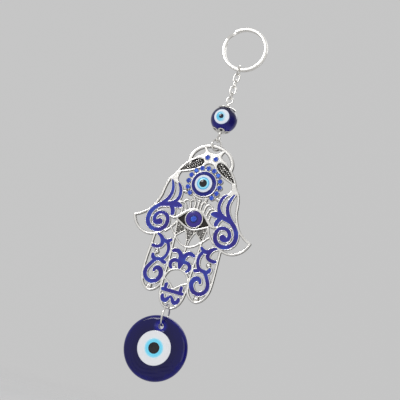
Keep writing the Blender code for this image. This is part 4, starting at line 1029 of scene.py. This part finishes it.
def soft_corners(outline):
    """An outline with its corners cut twice: a side is left with the points a quarter in from its ends."""
    points = np.asarray(outline, float)
    for _ in range(2):
        following = np.roll(points, -1, axis=0)
        pairs = [0.75 * points + 0.25 * following, 0.25 * points + 0.75 * following]
        points = np.stack(pairs, axis=1).reshape(-1, 2)
    return points


def off_circle(u, v, centre, radius):
    """Distance from a circle's edge, below zero inside."""
    return np.hypot(u - centre[0], v - centre[1]) - radius


def rounded(away, level, radius):
    """Height of a cast edge: the level, less a parabola's fall over the first radius in from the edge."""
    over = np.clip(1 + away / radius, 0, 1)
    return np.where(away <= EDGE_SLACK, level - EDGE_FALL * radius * over**2, -FAR)


def halo_places():
    """The stones' places round the cabochon, open below where the lashes stand."""
    ring = BEZEL_RADIUS + HALO_SPACE + STONE_RADIUS + SETTING_WALL
    first = 90 - HALO_STEP_DEG * (HALO_STONES - 1) / 2
    angles = np.radians(first + HALO_STEP_DEG * np.arange(HALO_STONES))
    return np.array(BEZEL_CENTRE) + ring * np.stack([np.cos(angles), np.sin(angles)], axis=1)


def enamel_fields(u, v):
    """Distance from the edge of each enamel pool of the left half."""
    pools = {"scroll": SCROLL, "finger": FINGER_SCROLL, "flower": FLOWER, "cup": CUP, "wave": WAVE}
    fields = {name: np.min([off_line(u, v, points) for points in lines], axis=0) - ENAMEL_SWELL[name]
              for name, lines in pools.items()}
    fields["iris"] = off_circle(u, v, IRIS_CENTRE, IRIS_RADIUS)
    return fields


def cast_shapes(u, v):
    """Every cast shape of the left half as (distance from its edge, level, rounding of its edge)."""
    angles = np.radians(np.linspace(90 - CROWN_PAST_MIDDLE_DEG, 180 - CROWN_FOOT_DEG, CROWN_POINTS))
    crown = [(CROWN_HALF_WIDTH * math.cos(a), CROWN_CENTRE_V + CROWN_HALF_HEIGHT * math.sin(a))
             for a in angles]
    lines = [(crown, CROWN_WIDTH, LINE_FRONT, CROWN_ROUND), (MIDDLE, TIP_WIDTH, LINE_FRONT, BORDER_ROUND),
             (LID_TOP, None, LID_FRONT, LID_ROUND), (LID_LOW, LID_LOW_WIDTH, LID_FRONT, LID_LOW_ROUND),
             (BIB, FRAME_WIDTH, BAR_FRONT, FRAME_ROUND), (POST, POST_WIDTH, BAR_FRONT, POST_ROUND)]
    lines += [(points, BORDER_WIDTH, LINE_FRONT, BORDER_ROUND) for points in (SIDE, THUMB, FINGER)]
    lines += [(points, FRAME_WIDTH, LINE_FRONT, FRAME_ROUND)
              for points in (WING_TOP, WING_LOW, STRUT, TIP_CURVE, ARCH)]
    lines += [(points, BAR_WIDTH, BAR_FRONT, BAR_ROUND) for points in BIB_BARS]
    lines += [(points, LASH_WIDTH, LINE_FRONT, LASH_ROUND) for points in LASHES]
    lines += [(points, STEM_WIDTH, BAR_FRONT, STEM_ROUND) for points in STEMS]
    shapes = [(off_line(u, v, points, width), level, soft) for points, width, level, soft in lines]
    shapes += [(off_plate(u, v, soft_corners(plate)), LINE_FRONT, PLATE_ROUND) for plate in (HEAD, SHOULDER)]
    shapes += [(off_plate(u, v, floor), FLOOR_FRONT, FLOOR_ROUND) for floor in FLOORS]
    shapes += [(off_circle(u, v, centre, radius), BALL_FRONT, radius) for centre, radius in BALLS]
    shapes += [(off_circle(u, v, centre, BRIDGE_RADIUS), BRIDGE_FRONT, BRIDGE_RADIUS) for centre in BRIDGES]
    shapes.append((off_circle(u, v, BEZEL_CENTRE, HALO_RADIUS), HALO_FRONT, HALO_ROUND))
    return shapes


def settings_field(u, v, radius):
    """Distance from the nearest of the circles round the halo's stones and the left head stone."""
    places = [*halo_places(), (-HEAD_STONE[0], HEAD_STONE[1])]
    return np.min([off_circle(u, v, place, radius) for place in places], axis=0)


def feather(u, v):
    """Barbs on the wing's floor: two rows of short wriggling strokes beside a line from shoulder to head.

    A stroke's middle wanders along the line by a sine of the distance from it.
    Its height falls off to either side.
    """
    foot, head = np.array(BARB_LINE)
    way = (head - foot) / np.linalg.norm(head - foot)
    s = (u - foot[0]) * way[0] + (v - foot[1]) * way[1]
    t = -(u - foot[0]) * way[1] + (v - foot[1]) * way[0] - 0.3
    row = np.where(t > 0, 1.0, -1.0)
    out = np.abs(t)
    wander = BARB_LEAN * row * out + BARB_WRIGGLE * np.sin(4.6 * out + 0.6 * row)
    turn = (s - wander) / BARB_STEP + 0.25 * row
    count = np.round(turn)
    aside = np.abs(turn - count) * BARB_STEP
    ridge = np.clip(1.9 - aside / 0.2, 0, 1)
    reach = BARB_REACH + 0.25 * np.sin(5.0 * count + row)
    first, last = BARB_SPAN
    ends = np.clip((s - first) / 0.5, 0, 1) * np.clip((last - s) / 0.5, 0, 1)
    return ridge * ends * np.clip((out - 0.1) / 0.2, 0, 1) * np.clip((reach - out) / 0.25, 0, 1)


def grains(u, v):
    """Grains of the bib's floors: two crossed waves on a board whose places are bent by slower waves."""
    across = u + 0.4 * np.sin(2.3 * v + 1.3 * np.sin(1.9 * u))
    up = v + 0.4 * np.sin(2.6 * u + 1.1 * np.sin(2.3 * v))
    return np.clip(0.1 + 1.2 * np.sin(4.3 * across + 0.9 * up) * np.sin(4.0 * up - 0.7 * across), 0, 1)


def board_heights(u, v):
    """Per board point: distance from the casting's edge, height of the front, distance from the pools."""
    shapes = cast_shapes(u, v)
    pool = np.min(list(enamel_fields(u, v).values()), axis=0)
    setting = settings_field(u, v, STONE_RADIUS + SETTING_WALL)
    from_bezel = np.hypot(u - BEZEL_CENTRE[0], v - BEZEL_CENTRE[1])
    edge = np.min([away for away, _, _ in shapes] + [pool - ENAMEL_RIM, setting], axis=0)
    height = np.max([rounded(*shape) for shape in shapes], axis=0)
    on_floor = height < FLOOR_FRONT + FLOOR_SLACK
    on_wing, on_bib = [on_floor & (off_plate(u, v, floor) < 0) for floor in (WING_FLOOR, BIB_FLOOR)]
    height = np.where(on_wing, height + BARB_HEIGHT * feather(u, v), height)
    height = np.where(on_bib, height + GRAIN_HEIGHT * grains(u, v), height)
    rim = ENAMEL_RIM / 2
    off_rim = np.clip(np.abs(pool - rim) / rim, 0, 1)
    on_rim = (pool > -EDGE_SLACK) & (pool < ENAMEL_RIM + EDGE_SLACK)
    height = np.where(on_rim, np.maximum(height, LINE_FRONT - EDGE_FALL * rim * off_rim**2), height)
    height = np.where(pool < -EDGE_SLACK, POCKET_FLOOR, height)
    wall = BEZEL_WALL / 2
    lip = np.clip(np.abs(from_bezel - BEZEL_RADIUS + wall) / wall, 0, 1)
    height = np.where(from_bezel < BEZEL_RADIUS + EDGE_SLACK, BEZEL_FRONT - EDGE_FALL * wall * lip**2, height)
    height = np.where(from_bezel < BEZEL_RADIUS - BEZEL_WALL - EDGE_SLACK, CABOCHON_FLOOR, height)
    raised = np.maximum(height, rounded(setting, SETTING_FRONT, SETTING_ROUND))
    height = np.where(setting < EDGE_SLACK, raised, height)
    height = np.where(setting < -SETTING_WALL - EDGE_SLACK, STONE_FLOOR, height)
    return edge, height, pool


def snapped_board():
    """The board's points, those near a drawn edge slid onto it down the slope of the distance from it."""
    u, v = np.meshgrid(COLUMNS, ROWS)
    edge, _, pool = board_heights(u, v)
    bezel = off_circle(u, v, BEZEL_CENTRE, BEZEL_RADIUS)
    settings = [settings_field(u, v, radius) for radius in (STONE_RADIUS + SETTING_WALL, STONE_RADIUS)]
    lines = np.stack([edge, pool, bezel, bezel + BEZEL_WALL, *settings])
    closest = np.abs(lines).argmin(0)[None]
    away = np.take_along_axis(lines, closest, 0)[0]
    slopes = [np.take_along_axis(slope, closest, 0)[0] for slope in np.gradient(lines, PITCH, axis=(1, 2))]
    steep = np.maximum(slopes[0] ** 2 + slopes[1] ** 2, LEAST_STEEP)
    slide = np.where(np.abs(away) < SNAP_SHARE * PITCH, away / steep, 0.0)
    slide_u = -slide * slopes[1]
    slide_u[:, -1] = 0.0
    return u + slide_u, v - slide * slopes[0]


def softened(field, times):
    """A field with each value shared with its neighbours a number of times."""
    for _ in range(times):
        padded = np.pad(field, 1, mode="edge")
        field = (padded[:-2, 1:-1] + padded[2:, 1:-1] + padded[1:-1, :-2] + padded[1:-1, 2:] + 2 * field) / 6
    return field


def whole(field, flip=False):
    """A left half of the board with its mirror image beside it, its values turned round where asked."""
    image = field[:, -2::-1]
    return np.concatenate([field, -image if flip else image], axis=1)


def relief(u, v, inside, front, back):
    """A solid over the squares whose corners are all inside, and the points that it uses.

    Its front stands at its heights, its back is flat, and walls in two rows close it round.
    """
    cells = inside[:-1, :-1] & inside[1:, :-1] & inside[1:, 1:] & inside[:-1, 1:]
    used = np.zeros(inside.shape, bool)
    for rows in (np.s_[:-1], np.s_[1:]):
        for columns in (np.s_[:-1], np.s_[1:]):
            used[rows, columns] |= cells
    index = np.cumsum(used.ravel()).reshape(used.shape) - 1
    count = int(used.sum())
    corner = [index[:-1, :-1], index[:-1, 1:], index[1:, 1:], index[1:, :-1]]
    faces = np.stack([c[cells] for c in corner], axis=1)
    ring = np.pad(cells, 1)
    outside = [~ring[:-2, 1:-1], ~ring[1:-1, 2:], ~ring[2:, 1:-1], ~ring[1:-1, :-2]]
    starts = np.concatenate([corner[i][cells & bare] for i, bare in enumerate(outside)])
    ends = np.concatenate([corner[(i + 1) % 4][cells & bare] for i, bare in enumerate(outside)])
    rims, place = np.unique(np.concatenate([starts, ends]), return_inverse=True)
    low_a, low_b = np.split(place + 2 * count, 2)
    walls = [np.stack([ends, starts, low_a, low_b], axis=1),
             np.stack([low_b, low_a, starts + count, ends + count], axis=1)]
    top = np.stack([u[used], -front[used], v[used] + HAMSA_Z], axis=1)
    bottom = np.stack([u[used], np.full(count, -back), v[used] + HAMSA_Z], axis=1)
    middle = WALL_MIDDLE * top[rims] + (1 - WALL_MIDDLE) * bottom[rims]
    return (np.concatenate([top, bottom, middle]), [faces, faces[:, ::-1] + count, *walls]), used


def patina_and_painted_shade_field(u, v, edge, height):
    """How black the casting is: its floors where not worn, and elsewhere its hollows, with a painted shade
    darkening its outer edges.
    """
    ground = np.where(edge < INSIDE_SLACK, height, HAND_BACK)
    hollow = sum(np.clip((softened(ground, times) - ground) * gain, 0, 1) for times, gain in HOLLOWS)
    away = [off_plate(u, v, floor) for floor in FLOORS]
    on_floor = (np.min(away, axis=0) < 0) & (height < FLOOR_TOP)
    above = height - FLOOR_FRONT
    bib, other = [black - rate * above for black, rate in (BIB_WEAR, FLOOR_WEAR)]
    worn = np.clip(np.where(away[-1] < 0, bib, other), 0, 1)
    # painted shade: darker toward the outer edge of every cast shape, where it rounds off
    outer = EDGE_PAINTED_SHADE * np.clip(1 + edge / EDGE_PAINTED_SHADE_REACH, 0, 1) ** EDGE_PAINTED_SHADE_POWER
    return np.clip(np.where(on_floor, worn, np.maximum(HOLLOW_TARNISH * hollow, outer)), 0, 1)


def casting(u, v):
    """The casting in four parts, cut from one snapped board, from the crown down."""
    edge, height, _ = board_heights(u, v)
    patina_and_painted_shade = whole(patina_and_painted_shade_field(u, v, edge, height))
    full_u, full_v = whole(u, True), whole(v)
    inside, front = whole(edge < INSIDE_SLACK), whole(height)
    high, half, low = [int(np.searchsorted(ROWS, cut)) for cut in (CROWN_CUT, EYE_CUT, FINGER_CUT)]
    bands = {"crown": np.s_[high:], "eye": np.s_[half:high + 1], "palm": np.s_[low:half + 1],
             "fingers": np.s_[:low + 1]}
    for band, rows in bands.items():
        shell, used = relief(full_u[rows], full_v[rows], inside[rows], front[rows], HAND_BACK)
        count = int(used.sum())
        walls = len(shell[0]) - 2 * count
        # the back gets a light tarnish and the walls a painted shade
        black = [patina_and_painted_shade[rows][used], np.full(count, BACK_TARNISH), np.full(walls, WALL_PAINTED_SHADE)]
        satin = [np.zeros(count), np.ones(count), np.zeros(walls)]
        traits = {"patina_and_painted_shade": np.concatenate(black), "satin": np.concatenate(satin)}
        nodes = ["hamsa_casting"] if band == "crown" else []
        make_piece(f"hamsa_casting_{band}", [shell], CAST, "hamsa", nodes, traits=traits)


def enamel(u, v):
    """The enamel in the casting's pockets, a little lower inside than at its rim; the iris is a low dome."""
    back = POCKET_FLOOR + SEAT
    for name, field in enamel_fields(u, v).items():
        finish = ENAMEL
        front = ENAMEL_FRONT - ENAMEL_DIP * (1 - np.exp(-np.clip(-field, 0, None) / ENAMEL_DIP_REACH))
        thin = np.clip(1 + field / ENAMEL_THIN_REACH, 0, 1)
        if name == "iris":
            finish = IRIS
            from_stone = np.hypot(u - IRIS_CENTRE[0], v - IRIS_CENTRE[1])
            front = ENAMEL_FRONT + IRIS_CROWN * np.clip(1 - (from_stone / IRIS_RADIUS) ** 2, 0, 1)
        inside = field < INSIDE_SLACK
        if name in ("scroll", "finger"):
            shell, used = relief(u, v, inside, front, back)
            points, faces = shell
            shells = {f"enamel_{name}_left": shell,
                      f"enamel_{name}_right": (points * (-1, 1, 1), [face[:, ::-1] for face in faces])}
        else:
            shell, used = relief(whole(u, True), whole(v), whole(inside), whole(front), back)
            shells = {f"enamel_{name}": shell}
            thin = whole(thin)
        walls = len(shell[0]) - 2 * int(used.sum())
        traits = {"thin": np.concatenate([thin[used], thin[used], np.ones(walls)])}
        for node, cut in shells.items():
            make_piece(node, [cut], finish, "hamsa", [node], traits=traits)


def brilliant(name, place, radius, floor):
    """A round cut stone: an eight-sided table, kites and girdle facets on three rings, and a flat back."""
    girdle = radius - SEAT
    level = SETTING_FRONT + STONE_GIRDLE_RISE
    kite_level = level + STONE_KITE_LEVEL * (STONE_TABLE - level)
    eight, sixteen = [np.arange(n) * math.tau / n for n in (8, 16)]
    rings = [(STONE_TABLE_SHARE * girdle, STONE_TABLE, eight),
             (STONE_KITE_SHARE * girdle, kite_level, eight + math.pi / 8),
             (girdle, level, sixteen), (girdle, floor, sixteen)]
    points = [np.stack([r * np.cos(a), np.full(len(a), -y), r * np.sin(a)], axis=1) for r, y, a in rings]
    i = np.arange(8)
    after = (i + 1) % 8
    table = i[None]
    star = np.stack([i, 8 + i, after], axis=1)
    kite = np.stack([after, 8 + i, 16 + 2 * after, 8 + after], axis=1)
    upper = np.concatenate([np.stack([8 + i, 16 + 2 * i, 17 + 2 * i], axis=1),
                            np.stack([8 + i, 17 + 2 * i, 16 + 2 * after], axis=1)])
    j = np.arange(16)
    next_j = (j + 1) % 16
    belt = np.stack([16 + j, 32 + j, 32 + next_j, 16 + next_j], axis=1)
    base = (32 + j)[None, ::-1]
    body = np.concatenate(points) + (place[0], 0.0, place[1] + HAMSA_Z)
    shell = (body, [table, star, kite, upper, belt, base])
    piece = make_piece(name, [shell], STONE, "hamsa", [name], flat=True)
    # painted sparkle: each face gets its own random shade, from deep to bright blue
    rng = np.random.default_rng(int(abs(place[0] * 100) + abs(place[1] * 10)))
    held = piece.data.attributes.new("facet_sparkle", "FLOAT", "FACE")
    least, spread = FACET_SPARKLE_TONES
    values = least + spread * rng.random(len(piece.data.polygons))
    held.data.foreach_set("value", values.astype(np.float32))


def stones():
    """The stones of the halo, the head and the iris."""
    floor = STONE_FLOOR + SEAT
    for i, place in enumerate(halo_places()):
        brilliant(f"halo_stone_{i + 1:02d}", place, STONE_RADIUS, floor)
    brilliant("head_stone_left", (-HEAD_STONE[0], HEAD_STONE[1]), STONE_RADIUS, floor)
    brilliant("head_stone_right", HEAD_STONE, STONE_RADIUS, floor)
    brilliant("iris_stone", IRIS_CENTRE, IRIS_STONE_RADIUS, STONE_FLOOR + 3 * SEAT)


def claws():
    """Four small domes over the rim of each stone of the halo and the head, each a turned quarter circle."""
    arc = np.radians(np.linspace(0, CLAW_ARC_DEG, CLAW_ROWS))
    dome = np.stack([CLAW_RADIUS * np.cos(arc), SETTING_FRONT + CLAW_HEIGHT * np.sin(arc)], axis=1)
    foot = (CLAW_RADIUS, SETTING_FRONT - CLAW_HEIGHT)
    points, faces = turned(np.concatenate([[foot], dome]), CLAW_SIDES)
    quarter = np.radians(45 + 90 * np.arange(4))
    spots = STONE_RADIUS * CLAW_PLACE * np.stack([np.cos(quarter), np.sin(quarter)], axis=1)
    shells = []
    for place in [*halo_places(), (-HEAD_STONE[0], HEAD_STONE[1]), HEAD_STONE]:
        for spot in spots + place:
            shells.append((points + (spot[0], 0.0, spot[1] + HAMSA_Z), faces))
    bare = np.zeros(sum(len(shell[0]) for shell in shells))
    make_piece("stone_claws", shells, CAST, "hamsa", traits={"patina_and_painted_shade": bare})


def cabochon():
    """The domed glass eye in the bezel: part of a sphere over a short straight side."""
    edge = BEZEL_RADIUS - BEZEL_WALL - SEAT
    dome = (edge**2 + CABOCHON_CROWN**2) / (2 * CABOCHON_CROWN)
    base = BEZEL_FRONT - CABOCHON_SIDE

    def surface(r):
        return base + CABOCHON_CROWN - dome + np.sqrt(dome**2 - r * r)

    centre = (BEZEL_CENTRE[0], 0.0, BEZEL_CENTRE[1] + HAMSA_Z)
    r = edge * np.sin(np.linspace(EYE_START, 1, CABOCHON_ROWS) * math.pi / 2)
    floor = CABOCHON_FLOOR + SEAT
    profile = np.concatenate([np.stack([r, surface(r)], axis=1), [(edge, floor), (CABOCHON_UNDER, floor)]])
    cobalt = eye_glass("cabochon_cobalt", centre, [(0.0, (0.010, 0.012, 0.17)), (6.0, (0.009, 0.010, 0.16)),
                                                   (6.9, (0.014, 0.020, 0.26)), (7.4, (0.02, 0.03, 0.32))])
    shell = turned(profile, CABOCHON_STEPS, centre)
    make_piece("cabochon_glass", [shell], cobalt, "hamsa", ["cabochon_glass"])
    white = eye_glass("cabochon_white", centre, [(0.0, (0.78, 0.86, 0.92)), (4.2, (0.62, 0.76, 0.90)),
                                                 (4.8, (0.80, 0.83, 0.88)), (5.2, (0.80, 0.82, 0.87)),
                                                 (5.5, (0.5, 0.58, 0.78))])
    blue = eye_glass("cabochon_blue", centre, [(0.0, (0.30, 0.78, 0.96)), (3.0, (0.32, 0.80, 0.98)),
                                               (3.25, (0.10, 0.52, 0.85)), (3.7, (0.05, 0.33, 0.68)),
                                               (4.0, (0.12, 0.42, 0.76))])
    eye_layers("cabochon_eye", centre, CABOCHON_EYE, surface, "hamsa", (white, blue, PUPIL), steps=80)


# Stage, light and camera

FLOOR_HALF = 900.0
FLOOR_Z = -285.0
FLOOR_FADE = 800.0
FLOOR_POINTS = 9
LAMP_AIM = (0, 0, -110)


def stage():
    """A wide pale floor below the hanging object, which fades into the even backdrop with distance."""
    side = np.linspace(-FLOOR_HALF, FLOOR_HALF, FLOOR_POINTS)
    x, y = np.meshgrid(side, side)
    points, faces = woven(np.stack([x, y, np.full_like(x, FLOOR_Z)], axis=-1))
    mesh = bpy.data.meshes.new("floor")
    mesh.from_pydata((points * MM).tolist(), [], faces[0].tolist())
    mix = Recipe("floor_paper").fix(roughness=0.8)
    mix.feed(mix.ramp(mix.noise(60.0, 3.0), [(0.3, 0.60), (0.7, 0.63)]), "Base Color")
    clear = mix.add("ShaderNodeBsdfTransparent")
    fade = mix.add("ShaderNodeMixShader")
    away = mix.sum(mix.from_axis((0.0, 0.0, 0.0), (1.0, 1.0, 0.0)), FLOOR_FADE, "DIVIDE")
    share = mix.ramp(away, [(0.15, 0.0), (0.9, 1.0)], smooth=True)
    mix.join(*share, fade, 0)
    mix.join(mix.shader, "BSDF", fade, 1)
    mix.join(clear, "BSDF", fade, 2)
    mix.join(fade, "Shader", mix.output, "Surface")
    mesh.materials.append(mix.material)
    floor = bpy.data.objects.new("floor", mesh)
    bpy.context.scene.collection.objects.link(floor)


def world():
    """A pale backdrop, dark far to the right and dim straight below, and an even sky.

    The camera, mirrors and glass see the backdrop, and the sky lights the rest.
    """
    made = bpy.data.worlds.new("studio")
    bpy.context.scene.world = made
    mix = Nodes(made)
    parts = mix.add("ShaderNodeSeparateXYZ")
    mix.join(mix.add("ShaderNodeTexCoord"), "Generated", parts, "Vector")

    def shaded(axis, stops):
        share = mix.add("ShaderNodeMapRange")
        share.inputs["From Min"].default_value = -1.0
        mix.join(parts, axis, share, "Value")
        return mix.ramp((share, "Result"), stops)

    depth = shaded("Y", [(0.0, 0.78), (0.4, 0.69), (0.75, 0.57), (1.0, 0.56)])
    height = shaded("Z", [(0.0, 0.15), (0.12, 0.35), (0.27, 0.95), (0.4, 1.0), (1.0, 1.0)])
    side = shaded("X", [(0.0, 1.0), (0.85, 1.0), (0.95, 0.3), (1.0, 0.25)])
    tone = mix.sum(mix.sum(depth, height, "MULTIPLY"), side, "MULTIPLY")
    backdrop, sky = [mix.add("ShaderNodeBackground") for _ in range(2)]
    mix.join(*tone, backdrop, "Color")
    sky.inputs["Color"].default_value = (0.60, 0.60, 0.61, 1.0)
    rays = mix.add("ShaderNodeLightPath")
    mirror = mix.sum((rays, "Is Glossy Ray"), (rays, "Is Transmission Ray"), "MAXIMUM")
    seen = mix.sum((rays, "Is Camera Ray"), mirror, "MAXIMUM")
    mixed = mix.add("ShaderNodeMixShader")
    mix.join(*seen, mixed, 0)
    mix.join(sky, "Background", mixed, 1)
    mix.join(backdrop, "Background", mixed, 2)
    mix.join(mixed, "Shader", mix.add("ShaderNodeOutputWorld"), "Surface")


def lamp(name, place, size, power):
    """A square soft box aimed at the object."""
    data = bpy.data.lights.new(name, "AREA")
    data.shape = "RECTANGLE"
    data.size, data.size_y = [s * MM for s in size]
    data.energy = power
    made = bpy.data.objects.new(name, data)
    bpy.context.scene.collection.objects.link(made)
    place, target = Vector(place) * MM, Vector(LAMP_AIM) * MM
    made.location = place
    made.rotation_euler = (target - place).to_track_quat("-Z", "Y").to_euler()


def camera(azimuth, elevation, roll, target, distance, lens):
    """The camera on its bearing from the target, rolled so that the object's top leans to the right."""
    a, e, r = math.radians(azimuth), math.radians(elevation), math.radians(roll)
    back = Vector((math.sin(a) * math.cos(e), -math.cos(a) * math.cos(e), math.sin(e)))
    right = Vector((math.cos(a), math.sin(a), 0.0))
    up = back.cross(right)
    across = right * math.cos(r) + up * math.sin(r)
    above = up * math.cos(r) - right * math.sin(r)
    data = bpy.data.cameras.new("camera")
    data.lens = lens
    data.sensor_width = 36.0
    data.clip_start, data.clip_end = 0.01, 10.0
    made = bpy.data.objects.new("camera", data)
    bpy.context.scene.collection.objects.link(made)
    turn = Matrix((across, above, back)).transposed().to_4x4()
    made.matrix_world = Matrix.Translation((Vector(target) + back * distance) * MM) @ turn
    bpy.context.scene.camera = made


key_ring()
jump_ring("end_ring", END_RING, END_RING_Z, 90.0)
for link in range(3):
    chain_link(link)
jump_ring("top_ring", TOP_RING, TOP_RING_Z, 90.0)
eye_pin()
bead()
petal_cap("bead_cap_top", 1)
petal_cap("bead_cap_low", -1)
jump_ring("hand_ring", HAND_RING, HAND_RING_Z, 45.0)
board = snapped_board()
casting(*board)
enamel(*board)
stones()
claws()
cabochon()
jump_ring("disc_ring", DISC_RING, DISC_RING_Z, 90.0)
disc()
stage()
world()
lamp("key_light", place=(-420, -740, 260), size=(280, 280), power=2.6)
lamp("fill_light", place=(520, -560, -40), size=(600, 600), power=1.0)
lamp("back_light", place=(60, 420, 360), size=(500, 500), power=1.5)
camera(azimuth=16.5, elevation=-8.0, roll=16.7, target=(0.0, 0.0, -108.0), distance=560.0, lens=85.0)
bpy.context.scene.view_settings.view_transform = "Standard"
